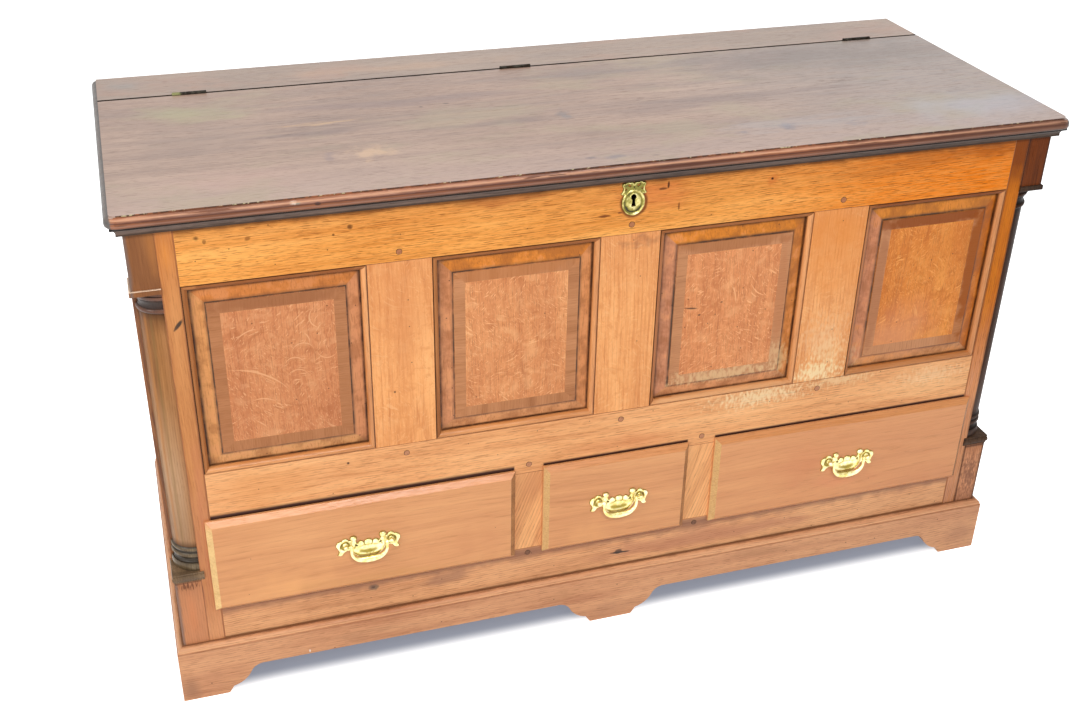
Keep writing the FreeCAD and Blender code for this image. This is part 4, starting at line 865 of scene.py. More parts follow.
            topMark(640, -200, 200, 90, (162, 164, 176), 0.4, **soft),
            topMark(330, -190, 180, 40, (150, 152, 158), 0.25, **streaky),
            topMark(-620, -40, 140, 110, (128, 104, 92), 0.5, **soft),
            topMark(-560, -200, 160, 60, (176, 138, 126), 0.4, **soft)]},
    "fixedBoard": {
        "pale": (160, 137, 120), "mid": (144, 120, 104), "dark": (122, 98, 84), "ring": (118, 94, 80),
        "pore": (88, 66, 54), "ringDepth": 0.14, "gloss": 0.34, "coat": 0.3, "cut": "plain", "bump": 0.16,
        "poreDepth": 0.4, "fibre": 0.4, "mottle": ((158, 118, 98), 0.5, 0.48),
        "lines": [(1, 181.4, 4.0, 1.0, (36, 26, 20))],
        "marks": [topMark(-250, 230, 260, 26, (178, 138, 106), 0.45, **soft),
                  topMark(450, 230, 260, 60, (122, 100, 86), 0.35, **soft),
                  topMark(-690, 240, 50, 40, (124, 122, 118), 0.6, **soft)]},
    "lidEdge": {
        "pale": (154, 94, 60), "mid": (124, 72, 46), "dark": (88, 50, 32), "ring": (80, 44, 30),
        "pore": (44, 24, 16), "ringDepth": 0.2, "gloss": 0.34, "specular": 0.35, "bump": 0.35,
        "mottle": ((84, 46, 30), 0.6, 0.49), "fades": [(0, 300, 740, (84, 52, 38), 0.6)],
        "ends": [(0, 380, 740, (88, 56, 42), 0.4), (0, -731, -734, (84, 84, 82), 0.9),
                 (0, 731, 734, (74, 70, 68), 0.9)],
        # painted highlight on the round at 850.2, painted shade under it at 846.4, a painted highlight on the
        # lower bead at 842 and painted shadow in the gap under the lid at 838; the flecked lines at the arris
        # are wear
        "lines": [(2, 850.2, 2.2, 0.75, (206, 152, 120), 0.36, 14), (2, 846.4, 2.3, 0.85, (76, 34, 18)),
                  (2, 842, 2.2, 0.6, (152, 112, 94)), (2, 838, 2.6, 0.95, (20, 13, 10)),
                  (2, 854.2, 1.9, 0.9, (44, 28, 22), 0.45, 110),
                  (2, 854.4, 1.5, 0.9, (214, 206, 160), 0.6, 140)],
        "marks": [chip(-494, -284, 852, 7, 6, (214, 206, 190), 1.3),
                  chip(-488, -284, 849, 5, 3, (110, 112, 96), 1.3),
                  chip(-462, -286, 846, 6, 3, (40, 24, 20), 0.6)]},
    "openJoint": {
        "pale": (44, 33, 26), "mid": (34, 25, 20), "dark": (24, 18, 15), "ring": (24, 18, 15),
        "pore": (16, 12, 10), "gloss": 0.8, "specular": 0.0, "ringDepth": 0.1},
    "rawOak": {
        "pale": (206, 172, 130), "mid": (186, 150, 108), "dark": (156, 120, 82), "ring": (142, 106, 70),
        "pore": (96, 68, 44), "gloss": 0.7, "specular": 0.3, "ringDepth": 0.3},
    "backOak": {
        "pale": (192, 156, 112), "mid": (168, 132, 92), "dark": (136, 102, 68), "ring": (122, 90, 60),
        "pore": (80, 56, 36), "gloss": 0.7, "specular": 0.25, "ringDepth": 0.3,
        "lines": [(0, x, 2.4, 0.9, (38, 26, 18)) for x in (-482, -289.3, -96.4, 96.4, 289.3, 482)],
        "marks": [backBoard(-385.7, (146, 108, 74), 0.45), backBoard(0, (142, 106, 72), 0.4),
                  backBoard(192.9, (190, 154, 112), 0.4), backBoard(578.6, (150, 116, 80), 0.5)]},
    "joint": {
        "pale": (196, 120, 64), "mid": (170, 98, 50), "dark": (130, 72, 36), "ring": (80, 44, 24),
        "pore": (60, 34, 20), "gloss": 0.55},
    "peg": {
        "pale": (176, 120, 86), "mid": (148, 98, 70), "dark": (110, 72, 52), "ring": (96, 62, 44),
        "pore": (72, 48, 34), "gloss": 0.5, "ringDepth": 0.4, "ringSpacing": 1.6, "specular": 0.2,
        "fades": [(2, 230, 170, (98, 72, 62), 0.85), (2, 260, 330, (204, 142, 106), 0.9),
                  (2, 600, 760, (176, 106, 60), 0.7)]},
    "pegRim": {
        "pale": (78, 52, 38), "mid": (60, 40, 30), "dark": (44, 30, 22), "ring": (40, 27, 20),
        "pore": (36, 24, 18), "gloss": 0.7, "specular": 0.1},
}
metals = {
    "brass": {"pale": (252, 244, 200), "mid": (240, 228, 166), "dark": (214, 196, 120),
              "tarnishAndShade": (158, 140, 66), "deep": (72, 54, 24), "spots": 0.16, "gloss": 0.26, "bump": 0.22},
    "oldBrass": {"pale": (230, 220, 164), "mid": (208, 196, 128), "dark": (166, 154, 86),
                 "tarnishAndShade": (128, 120, 58), "deep": (46, 40, 24), "spots": 0.42, "gloss": 0.3,
                 "bump": 0.3},
    "iron": {"pale": (66, 62, 54), "mid": (44, 41, 37), "dark": (26, 24, 22), "tarnishAndShade": (38, 28, 20),
             "deep": (24, 18, 14), "spots": 0.5, "gloss": 0.5, "bump": 0.5,
             "marks": [topMark(-613, 182, 9, 30, (136, 136, 92), 0.7, ragged=1.2)]},
}
madeFinishes = {}


def finishOf(name):
    if name not in madeFinishes:
        maker = metalFinish if name in metals else woodFinish
        madeFinishes[name] = maker(name, metals.get(name) or woods[name])
    return madeFinishes[name]


print("finishes described")


# ---- pieces taken over from the frame, with eased edges

def solidsOf(bm):
    # a node's triangles come solid by solid: a solid ends where no edge is open
    solids = []
    faces = []
    openEdges = set()
    for face in bm.faces:
        faces.append(face)
        corners = [tuple(round(c / 1e-6) for c in v.co) for v in face.verts]
        for pair in zip(corners, corners[1:] + corners[:1]):
            openEdges ^= {frozenset(pair)}
        if not openEdges:
            solids.append(faces)
            faces = []
    return solids


def inOrder(items):
    # each once, in the order in which they come, so that every run makes the same mesh
    return list(dict.fromkeys(items))


def mergedCopy(nodeName):
    bm = bmesh.new()
    bm.from_mesh(nodes[nodeName].data)
    for faces in solidsOf(bm):
        corners = inOrder(v for face in faces for v in face.verts)
        bmesh.ops.remove_doubles(bm, verts=corners, dist=2e-6)
    bmesh.ops.dissolve_limit(bm, angle_limit=math.radians(0.4), verts=bm.verts, edges=bm.edges)
    return bm


def islandsOf(bm):
    bm.verts.index_update()
    left = set(bm.verts)
    islands = []
    while left:
        island = set()
        reach = [left.pop()]
        while reach:
            vert = reach.pop()
            island.add(vert)
            for edge in vert.link_edges:
                other = edge.other_vert(vert)
                if other in left:
                    left.remove(other)
                    reach.append(other)
        islands.append(sorted(island, key=lambda v: v.index))
    return sorted(islands, key=lambda island: island[0].index)


cuts = {"rift": (0.09, 0.09), "quarter": (0.15, 0.02), "plain": (0.02, 0.085)}


def layGrain(bm, name, cut="rift", grain=None, lean=None):
    # where each place of a board lay in its log: along the grain, and two ways across it
    layer = bm.verts.layers.float_vector.get("grainPlace") or bm.verts.layers.float_vector.new("grainPlace")
    chance = random.Random(name)
    for island in islandsOf(bm):
        low = Vector([min(v.co[i] for v in island) for i in range(3)])
        high = Vector([max(v.co[i] for v in island) for i in range(3)])
        size = high - low
        order = sorted(range(3), key=lambda i: size[i])
        if grain == "across":
            order = [order[0], order[2], order[1]]
        elif grain is not None:
            order = [i for i in order if i != grain] + [grain]
        thin, wide, along = order
        middle = (low + high) / 2
        pith = cuts[cut]
        start = chance.uniform(-8, 8)
        acrossPith = pith[0] * chance.choice((-1, 1)) * chance.uniform(0.85, 1.3)
        depthPith = pith[1] * chance.uniform(0.85, 1.3)
        slope = chance.uniform(-0.03, 0.03) if lean is None else lean
        for v in island:
            local = v.co - middle
            v[layer] = (local[along] + start, local[wide] + acrossPith + slope * local[along],
                        local[thin] + depthPith + 0.02 * local[along])


def rounded(bm, edges, width, segments=2):
    made = bmesh.ops.bevel(bm, geom=edges, offset=width, offset_type="OFFSET", segments=segments, profile=0.5,
                           affect="EDGES", clamp_overlap=True, material=-1)
    return made["faces"]


def easeEdges(bm, width):
    # rounds the outside edges that have room for it, and returns the new faces
    chosen = []
    for edge in bm.edges:
        if len(edge.link_faces) != 2 or not edge.is_convex:
            continue
        if edge.calc_face_angle(0) < math.radians(32):
            continue
        near = [e.calc_length() for v in edge.verts for e in v.link_edges]
        if min(near) > 2.6 * width:
            chosen.append(edge)
    return rounded(bm, chosen, width) if chosen else []


def smoothed(bm, angle=35):
    for face in bm.faces:
        face.smooth = True
    for edge in bm.edges:
        edge.smooth = len(edge.link_faces) == 2 and edge.calc_face_angle(0) < math.radians(angle)


def pieceName(nodeName):
    words = nodeName.split("_")
    return words[0] + "".join(word.capitalize() for word in words[1:])


def settle(bm, name, nodeNames, finishNames, weighted=True):
    # makes the object, gives it its finish and its body, and hides the nodes it stands for
    mesh = bpy.data.meshes.new(name)
    bm.to_mesh(mesh)
    bm.free()
    piece = bpy.data.objects.new(name, mesh)
    scene.collection.objects.link(piece)
    for finishName in finishNames:
        mesh.materials.append(finishOf(finishName))
    if weighted:
        even = piece.modifiers.new("evenShade", "WEIGHTED_NORMAL")
        even.keep_sharp = True
    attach(piece, nodes[nodeNames[0]]["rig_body"])
    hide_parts(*nodeNames)
    return piece


def dress(nodeName, finishName, width=0.7, edge=None, cut=None, grain=None, before=None, extra=None,
          others=(), lean=None):
    # others: finish names, each with the test that picks its faces
    bm = mergedCopy(nodeName)
    low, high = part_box(nodeName)
    if before:
        before(bm, low, high)
    if width:
        for face in easeEdges(bm, width * mm):
            if edge:
                face.material_index = 1 + len(others)
    if extra:
        extra(bm)
    for number, (otherName, test) in enumerate(others, 1):
        for face in bm.faces:
            if test(face.calc_center_median() / mm, face.normal, low / mm, high / mm):
                face.material_index = number
    wood = woods.get(finishName, {})
    layGrain(bm, nodeName, cut or wood.get("cut", "rift"), grain, lean)
    smoothed(bm)
    names = [finishName] + [otherName for otherName, test in others] + ([edge] if edge else [])
    return settle(bm, pieceName(nodeName), [nodeName], names)


abacusTrim = {"low": 0.7275, "high": 0.7375, "inner": 0.6799, "front": -0.2645}    # metres


def trimAbacus(bm):
    # the upper cap stops at the post, without an ear
    inner = abacusTrim["inner"]
    for v in bm.verts:
        inBand = abacusTrim["low"] < v.co.z < abacusTrim["high"]
        if inBand and abs(v.co.x) < inner and v.co.y < abacusTrim["front"]:
            v.co.x = math.copysign(inner, v.co.x)
    bmesh.ops.dissolve_degenerate(bm, dist=2e-5, edges=bm.edges)


def onRightBlock(middle, normal, low, high):
    return middle.x > 0


def onLowCap(middle, normal, low, high):
    return 230.6 < middle.z < 247.6


def onRightCap(middle, normal, low, high):
    return middle.x > 0 and (727.6 < middle.z < 737.6 or 230.6 < middle.z < 247.6)


# the left caps' upward-facing edges, which take the painted highlight
def onCapHighlight(middle, normal, low, high):
    onArris = 0.2 < normal.z < 0.97 and normal.y < -0.1
    return middle.x < 0 and (middle.z > 736.2 and normal.z > 0.2 and middle.z < 738 or
                             onArris and 245 < middle.z < 248)


def dressFrame():
    dress("front_top_rail", "topRail", 0.5, "joint")
    dress("front_middle_rail", "middleRail", 0.5, "joint")
    dress("front_bottom_rail", "bottomRail", 0.5, "joint")
    for number, cut in ((1, "plain"), (2, "quarter"), (3, "quarter")):
        dress(f"front_muntin_{number}", "muntin", 0.5, "joint", cut=cut)
    for side in ("left", "right"):
        dress(f"drawer_muntin_{side}", "drawerMuntin", 0.5, "joint", lean=-0.36)
        dress(f"corner_post_{side}", "post" if side == "left" else "postRight", 0.5, "joint")
        dress(f"rear_post_{side}", "sidePost", 0.6)
        dress(f"side_rails_{side}", "side", 0.6, "joint", grain=1)
        dress(f"side_panels_{side}", "sidePanel", 0.5)
        dress(f"drawer_{side}_box", "rawOak", 0.5)
    dress("side_muntins", "side", 0.6, "joint", grain=2)
    dress("drawer_centre_box", "rawOak", 0.5)
    dress("back_boards", "backOak", 0.6)
    for nodeName in ("back_rails", "chest_floor_boards", "drawer_runners", "plinth_blocks"):
        dress(nodeName, "rawOak", 0.6)
    dress("column_blocks", "block", 0.8, grain=2, extra=trimAbacus,
          others=[("cap", onLowCap), ("capLine", onCapHighlight), ("blockRight", onRightBlock),
                  ("capRight", onRightCap)])
    print("frame dressed")


tongue = 5 * mm


def openingOf(number):
    low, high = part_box(f"front_panel_{number}")
    return {"x": (low.x + high.x) / 2, "z": (low.z + high.z) / 2,
            "halfX": (high.x - low.x) / 2 - tongue, "halfZ": (high.z - low.z) / 2 - tongue}


# broad flakes of one panel: three places on the stroke (x, z) and half its width
panelStrokes = {
    1: [
        ((-608, 593), (-557, 580), (-517, 545), 1.3),
        ((-495, 641), (-486, 630), (-485, 616), 0.9),
        ((-520, 595), (-508, 600), (-494, 585), 0.9),
        ((-518, 573), (-506, 579), (-490, 569), 0.8),
        ((-479, 673), (-482, 657), (-464, 643), 1.0),
        ((-510, 613), (-496, 622), (-479, 608), 0.9),
        ((-475, 608), (-463, 593), (-453, 594), 0.8),
        ((-559, 654), (-577, 649), (-591, 636), 0.9),
        ((-576, 536), (-556, 538), (-539, 530), 1.0),
    ],
}
panelMarks = {
    3: [spot(282, 472, 26, 36, (234, 206, 152), 0.4, **bloom),
        spot(170, 458, 130, 12, (220, 184, 134), 0.5, **bloom),
        spot(112, 592, 16, 1.7, (70, 44, 26), 0.85, ragged=0.7, turn=-8),
        spot(97, 614, 2.2, 2.2, (54, 32, 18), 0.9, ragged=0.4),
        spot(128, 578, 3.4, 2.4, (70, 42, 24), 0.85, ragged=0.6),
        spot(81, 601, 1.8, 1.8, (64, 38, 22), 0.85, ragged=0.4),
        spot(165, 596, 3, 2, (84, 50, 28), 0.75, ragged=0.6)],
    4: [spot(412, 455, 24, 34, (226, 194, 146), 0.35, **bloom),
        spot(480, 480, 130, 50, (206, 140, 96), 0.5, **soft),
        spot(612, 640, 26, 100, (150, 78, 16), 0.35, **soft),
        spot(580, 650, 70, 70, (196, 106, 26), 0.35, **soft),
        spot(500, 500, 120, 90, (224, 150, 108), 0.3, **soft)],
}
panelTones = {1: (198, 123, 76), 2: (213, 137, 84), 3: (218, 139, 86), 4: (214, 124, 44)}
# bevel tones per side paint in how the light falls on each side
panelBevels = {
    1: {"left": (210, 144, 84), "right": (206, 136, 90), "top": (200, 120, 54), "bottom": (208, 148, 92)},
    2: {"left": (200, 132, 88), "right": (210, 136, 80), "top": (214, 128, 42), "bottom": (202, 138, 88)},
    3: {"left": (196, 130, 94), "right": (202, 122, 50), "top": (214, 128, 34), "bottom": (202, 136, 88)},
    4: {"left": (202, 132, 94), "right": (188, 100, 4), "top": (206, 126, 40), "bottom": (202, 138, 86)},
}


def panelFinish(number):
    # painted shade at the foot of the moulding and at the step of the field, and a painted highlight on the
    # step's top and left edges: inset, reach, strength, tone, side
    wide = 2.2 if number < 3 else 3.0
    lines = [(9.6, 4.4, 1.0, (56, 24, 6), None), (28.5, 3.0, 0.4, (120, 76, 48), None),
             (30.6, wide, 1.0, (50, 34, 24), "left"), (30.6, wide, 1.0, (46, 30, 22), "top"),
             (33.0, 1.2, 0.7, (226, 192, 150), "top"), (33.0, 1.0, 0.45, (220, 176, 130), "left"),
             (30.4, 2.4, 1.0, (56, 34, 22), "right"), (30.0, 3.2, 0.75, (96, 60, 42), "bottom")]
    name = f"panel{number}"
    middle = panelTones[number]
    shades = {"pale": (14, 18, 16), "mid": (0, 0, 0), "dark": (-26, -26, -22), "ring": (-32, -34, -28),
              "rayTone": (34, 54, 52)}
    warm = {key: tuple(min(255, max(0, c + k)) for c, k in zip(middle, shift))
            for key, shift in shades.items()}
    woods[name] = {**woods["panel"], **warm, "panel": {**openingOf(number), "lines": lines, "corner": 0.75},
                   "bevels": panelBevels[number], "strokes": panelStrokes.get(number, ()),
                   "marks": panelMarks.get(number, ())}
    return name


def nearestSide(x, z):
    # which panel's border a place belongs to: how far inside its opening, and the side
    openings = [openingOf(number) for number in range(1, 5)]
    near = min(openings, key=lambda opening: abs(x - opening["x"]))
    insideX = near["halfX"] - abs(x - near["x"])
    insideZ = near["halfZ"] - abs(z - near["z"])
    if insideX < insideZ:
        return insideX / mm, "right" if x > near["x"] else "left"
    return insideZ / mm, "top" if z > near["z"] else "bottom"


def quirkDirtAndShade(bm):
    # dirt and painted shade lie in the quirk outside each strip and at its toe, less on the strips that face
    # the light
    layer = bm.verts.layers.float.new("grime")
    front = min(v.co.y for v in bm.verts)
    for v in bm.verts:
        inset, side = nearestSide(v.co.x, v.co.z)
        depth = (v.co.y - front) / mm
        if inset < 1.45:
            v[layer] = 1.0 if depth > 1.0 else 0.35
        elif side == "bottom":
            v[layer] = min(1.0, max(0.0, (depth - 6.8) / 1.6))
        else:
            v[layer] = min(1.0, max(0.0, (depth - 4.3) / 2.7))


# the strips that face the light, which take the lit copy of the moulding finish
def onLitStrip(middle, normal, low, high):
    return nearestSide(middle.x * mm, middle.z * mm)[1] in ("right", "bottom")


def dressPanels():
    for number in range(1, 5):
        dress(f"front_panel_{number}", panelFinish(number), 0.0, grain=2)
    dress("panel_crossbanding", "banding", 0.0, grain="across")
    dress("panel_mouldings", "moulding", 0.3, extra=quirkDirtAndShade, others=[("mouldingLit", onLitStrip)])
    print("panels dressed")


edgeReach = 7.6      # the moulded edge, in from the board's outside
jointReach = 2.3     # the worn edge along the joint


def onBoardEnd(middle, normal, low, high):
    return middle.x < low.x + edgeReach or middle.x > high.x - edgeReach


def onLidEdge(middle, normal, low, high):
    return onBoardEnd(middle, normal, low, high) or middle.y < low.y + edgeReach


def onLidBack(middle, normal, low, high):
    return middle.y > high.y - jointReach


def onBoardFront(middle, normal, low, high):
    return middle.y < low.y + jointReach


wornWidth = 2.2


def wearJoint(y):
    # the edge along the joint between the boards is worn away more than the others
    def wear(bm, low, high):
        at = high.y if y > 0 else low.y
        edges = [e for e in bm.edges if len(e.link_faces) == 2 and
                 all(abs(v.co.y - at) < 1e-4 and v.co.z > high.z - 1e-4 for v in e.verts)]
        rounded(bm, edges, wornWidth * mm, 3)
    return wear


def dressTop():
    dress("lid_board", "lid", 0.5, grain=0, before=wearJoint(1),
          others=[("lidEdge", onLidEdge), ("openJoint", onLidBack)])
    dress("top_back_board", "fixedBoard", 0.5, grain=0, before=wearJoint(-1),
          others=[("lidEdge", onBoardEnd), ("openJoint", onBoardFront)])
    dress("cornice_front", "darkMoulding", 0.4)
    dress("cornice_returns", "darkMoulding", 0.4)
    print("top dressed")


def dressPlinth():
    dress("plinth_front", "plinth", 0.8)
    dress("plinth_left", "plinth", 0.8)
    dress("plinth_right", "plinth", 0.8)
    print("plinth dressed")


def onBevel(axis, sign):
    # picks the bevel that faces one way
    def test(middle, normal, low, high):
        return normal.y < -0.25 and sign * normal[axis] > 0.25 and middle.y < low.y + 9
    return test


def dressDrawers():
    for side in ("left", "centre", "right"):
        dress(f"drawer_{side}_front", "drawerFront", 0.5, grain=0, cut="plain",
              others=[("drawerBevel", onBevel(0, -1)), ("drawerTop", onBevel(2, 1)),
                      ("drawerRight", onBevel(0, 1))])
    print("drawers dressed")


def dressIron():
    for nodeName in ("lock_case", "lock_bolt", "lock_strike", "hinge_leaves_fixed", "hinge_leaves_lid",
                     "hinge_pins", "hinge_screws_fixed", "hinge_screws_lid"):
        dress(nodeName, "iron", 0.25)
    print("iron dressed")


dressFrame()
dressPanels()
dressTop()
dressPlinth()
dressDrawers()
dressIron()


# ---- quarter columns, turned

columnValues = {
    "corner": (680.0, -224.9),    # axis, across and back
    "shaft": 34.0,
    "foot": 247.0,
    "head": 728.0,
    "arcSteps": 6,
    "turnSteps": 22,
}


def arcPoints(start, middle, end, steps):
    # points on the circle through three places, without the start
    x, y, radius = circleThrough(start, middle, end)
    first = math.atan2(start[1] - y, start[0] - x)
    sweepMiddle = (math.atan2(middle[1] - y, middle[0] - x) - first) % (2 * math.pi)
    sweep = (math.atan2(end[1] - y, end[0] - x) - first) % (2 * math.pi)
    if sweepMiddle > sweep:
        sweep -= 2 * math.pi
    angles = [first + sweep * i / steps for i in range(1, steps + 1)]
    return [(x + radius * math.cos(angle), y + radius * math.sin(angle)) for angle in angles]


def outlinePoints(outline, steps):
    # (a, b) is a corner, (a, b, c, d) an arc through (a, b) to (c, d)
    points = [outline[0]]
    for item in outline[1:]:
        if len(item) == 4:
            points += arcPoints(points[-1], item[:2], item[2:], steps)
        else:
            points.append(item)
    return points


def columnOutline():
    r = columnValues["shaft"]
    foot = columnValues["foot"]
    head = columnValues["head"]
    return [
        (r + 3.0, foot), (r + 4.6, foot + 7, r + 3.0, foot + 14), (r + 1.5, foot + 14),
        (r + 1.5, foot + 16), (r - 0.2, foot + 20, r + 1.2, foot + 24),
        (r + 3.4, foot + 28, r + 1.2, foot + 32), (r + 0.6, foot + 32), (r + 0.6, foot + 35),
        (r + 2.8, foot + 38.5, r + 0.6, foot + 42), (r, foot + 43), (r, foot + 55), (r, head - 45),
        (r, head - 33), (r + 0.8, head - 33), (r + 3.2, head - 29, r + 0.8, head - 25),
        (r + 0.4, head - 25), (r - 0.4, head - 20.5, r + 0.8, head - 16), (r + 0.8, head - 14),
        (r + 4.0, head - 10.5, r + 4.6, head - 6), (r + 3.0, head - 6), (r + 3.0, head - 4),
        (r + 4.4, head - 4), (r + 4.4, head),
    ]


def turnColumn(side, nodeName, finishNames):
    points = outlinePoints(columnOutline(), columnValues["arcSteps"])
    axisX, axisY = (c * mm for c in columnValues["corner"])
    profile = [(0.0, points[0][1])] + points + [(0.0, points[-1][1])]
    bm = bmesh.new()
    verts = [bm.verts.new((axisX + radius * mm, axisY, z * mm)) for radius, z in profile]
    face = bm.faces.new(verts)
    geometry = [face] + list(face.edges) + list(face.verts)
    bmesh.ops.spin(bm, geom=geometry, cent=(axisX, axisY, 0), axis=(0, 0, 1), angle=-math.pi / 2,
                   steps=columnValues["turnSteps"], use_duplicate=False)
    bmesh.ops.remove_doubles(bm, verts=bm.verts, dist=1e-6)
    # dirt and painted shade in the hollows: how far a place lies below the fullest ring near it
    layer = bm.verts.layers.float.new("grime")
    for v in bm.verts:
        radius = math.hypot(v.co.x - axisX, v.co.y - axisY) / mm
        z = v.co.z / mm
        fullest = max(r for r, height in points if abs(height - z) < 7.5)
        onShaft = columnValues["foot"] + 50 < z < columnValues["head"] - 40
        v[layer] = 0.0 if onShaft else min(1.0, max(0.0, (fullest - radius - 0.3) / 2.2))
    if side < 0:
        bmesh.ops.scale(bm, vec=(-1, 1, 1), verts=bm.verts)
    bmesh.ops.recalc_face_normals(bm, faces=bm.faces)
    for face in bm.faces:
        z = face.calc_center_median().z / mm
        if z < columnValues["foot"] + 43:
            face.material_index = 1
        elif z > columnValues["head"] - 33.5:
            face.material_index = 2
    layGrain(bm, nodeName, "quarter", 2)
    smoothed(bm, 32)
    settle(bm, pieceName(nodeName), [nodeName], finishNames, weighted=False)


turnColumn(-1, "quarter_column_left", ["column", "columnRing", "columnHead"])
turnColumn(1, "quarter_column_right", ["columnRight"] * 3)
print("columns turned")


# ---- pegs: riven oak, a little proud and never quite round

pegValues = {"radius": 5.2, "proud": 0.35, "length": 17.0, "rim": 0.8, "sides": 11}


def makePegs():
    chance = random.Random("pegs")
    bm = bmesh.new()
    low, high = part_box("joint_pegs")
    old = mergedCopy("joint_pegs")
    middles = [sum((v.co for v in island), Vector()) / len(island) for island in islandsOf(old)]
    old.free()
    for middle in middles:
        front = low.y - pegValues["proud"] * mm
        back = low.y + pegValues["length"] * mm
        place = Matrix.Translation((middle.x, (front + back) / 2, middle.z)) @ Matrix.Rotation(
            math.pi / 2, 4, "X") @ Matrix.Rotation(chance.uniform(0, 6), 4, "Z")
        made = bmesh.ops.create_cone(bm, cap_ends=True, segments=pegValues["sides"],
                                     radius1=pegValues["radius"] * mm, radius2=pegValues["radius"] * mm,
                                     depth=back - front, matrix=place)
        for v in made["verts"]:
            away = Vector((v.co.x - middle.x, 0, v.co.z - middle.z))
            squeeze = 1 + 0.07 * math.sin(2 * math.atan2(away.z, away.x) + middle.x * 40)
            v.co.x = middle.x + away.x * (squeeze + chance.uniform(-0.03, 0.03))
            v.co.z = middle.z + away.z * (2 - squeeze)
    rim = [e for e in bm.edges if all(v.co.y < low.y for v in e.verts)]
    for face in rounded(bm, rim, pegValues["rim"] * mm):
        face.material_index = 1
    layGrain(bm, "pegs", "rift", 1)
    smoothed(bm)
    settle(bm, "jointPegs", ["joint_pegs"], ["peg", "pegRim"])


# ---- cast brass: handle plates, bails, escutcheon

handleValues = {
    "middles": {"left": -419.25, "centre": 3.0, "right": 428.25},
    "height": 254.5,
    "face": -276.9,               # the drawer front's face
    "pivotSpread": 36.5,
    "pivotRise": 4.5,
    "pivotDepth": 9.0,            # pivots in front of the drawer's face
    "cell": 0.75,
}

# right half of the plate from the top: lobes, ear, arch, wing, tail, foot
plateOutline = [
    (0.0, 9.4), (4.8, 8.2, 6.8, 3.6), (11.8, 8.0, 16.6, 4.2), (18.6, 5.8, 18.9, 10.6),
    (19.2, 18.0, 24.8, 19.4), (28.6, 17.2, 27.6, 12.2), (29.2, 11.2, 31.0, 12.8),
    (36.2, 16.4, 42.4, 12.4), (50.4, 8.6, 50.8, 0.6), (47.6, -5.6, 49.9, -13.2),
    (45.4, -15.6, 40.6, -13.0), (36.6, -8.6, 31.4, -7.6), (28.4, -8.6, 26.6, -11.6),
    (16.8, -22.2, 0.0, -25.8),
]


def bothHalves(points):
    return points + [(-x, z) for x, z in reversed(points) if abs(x) > 1e-6]


def insideOutline(points, x, z):
    # how far inside a closed outline each place is, negative outside
    nearest = np.full(x.shape, 1e9)
    inside = np.zeros(x.shape, bool)
    for (ax, az), (bx, bz) in zip(points, points[1:] + points[:1]):
        runX, runZ = bx - ax, bz - az
        length = runX * runX + runZ * runZ
        if length < 1e-12:
            continue
        share = np.clip(((x - ax) * runX + (z - az) * runZ) / length, 0, 1)
        nearest = np.minimum(nearest, np.hypot(x - ax - share * runX, z - az - share * runZ))
        if bz != az:
            inside ^= ((az > z) != (bz > z)) & (x < runX * (z - az) / runZ + ax)
    return np.where(inside, nearest, -nearest)


def step(value, low, high):
    share = np.clip((value - low) / (high - low), 0, 1)
    return share * share * (3 - 2 * share)


def distanceTo(x, z, atX, atZ):
    return np.hypot(x - atX, z - atZ)


def distanceToLine(x, z, ax, az, bx, bz):
    share = np.clip(((x - ax) * (bx - ax) + (z - az) * (bz - az)) / ((bx - ax) ** 2 + (bz - az) ** 2), 0, 1)
    return np.hypot(x - ax - share * (bx - ax), z - az - share * (bz - az))


def plateRelief(x, z, inside):
    # height over the wood, and tarnish with painted shade in the lower dish, at the foot and along the
    # outline, both from the mirrored half
    side = np.abs(x)
    rim = np.sqrt(1 - (1 - np.clip(inside / 2.6, 0, 1)) ** 2)
    height = 0.9 + 1.5 * rim
    dish = step((side / 20.0) ** 2 + ((z + 8.5) / 9.5) ** 2, 1.25, 0.35)
    recess = step(distanceTo(side, z, 36.7, 2.6), 9.6, 6.4) * step(inside, 1.2, 2.8)
    groove = np.exp(-(distanceToLine(side, z, 6.8, 3.8, 5.2, -2.5) / 0.8) ** 2)
    groove += np.exp(-(distanceToLine(side, z, 19.5, 4.0, 22.5, -4.0) / 0.9) ** 2)
    groove += 0.8 * np.exp(-(distanceToLine(side, z, 42.5, 7.0, 46.5, -8.5) / 0.9) ** 2)
    lobes = sum(np.clip(1 - (distanceTo(x, z, at, rise) / 6.4) ** 2, 0, 1)
                for at, rise in ((-12, 2.6), (0, 3.8), (12, 2.6)))
    ball = np.sqrt(np.clip(1 - (distanceTo(side, z, 23.6, 14.6) / 4.9) ** 2, 0, 1))
    ridge = np.exp(-(distanceToLine(side, z, 45.5, 8.5, 48.6, -11.0) / 2.0) ** 2)
    slots = step(distanceToLine(side, z, 18.2, 0.2, 20.2, 1.2), 1.7, 0.8)
    height += 0.8 * lobes + 2.2 * ball + 0.9 * ridge
    height -= 1.1 * dish + 1.5 * recess + 0.9 * groove + 1.2 * slots
    # painted shade in the lower dish and at the foot above the bail; the recess, grooves and slots carry
    # tarnish
    shade = dish * step(z, -5.0, -14.0) * step(side, 20.0, 12.0)
    foot = step(inside, 5.0, 2.4) * step(z, -8.0, -16.0) * step(side, 21.0, 14.0)
    tarnishAndShade = 0.5 * foot + 0.62 * recess + 0.4 * groove + 1.0 * slots + 0.5 * shade
    # painted shade along the outline
    tarnishAndShade += 0.5 * step(inside, 1.2, 0.1)
    return np.clip(height, 0.5, 5.0), np.clip(tarnishAndShade, 0, 1)


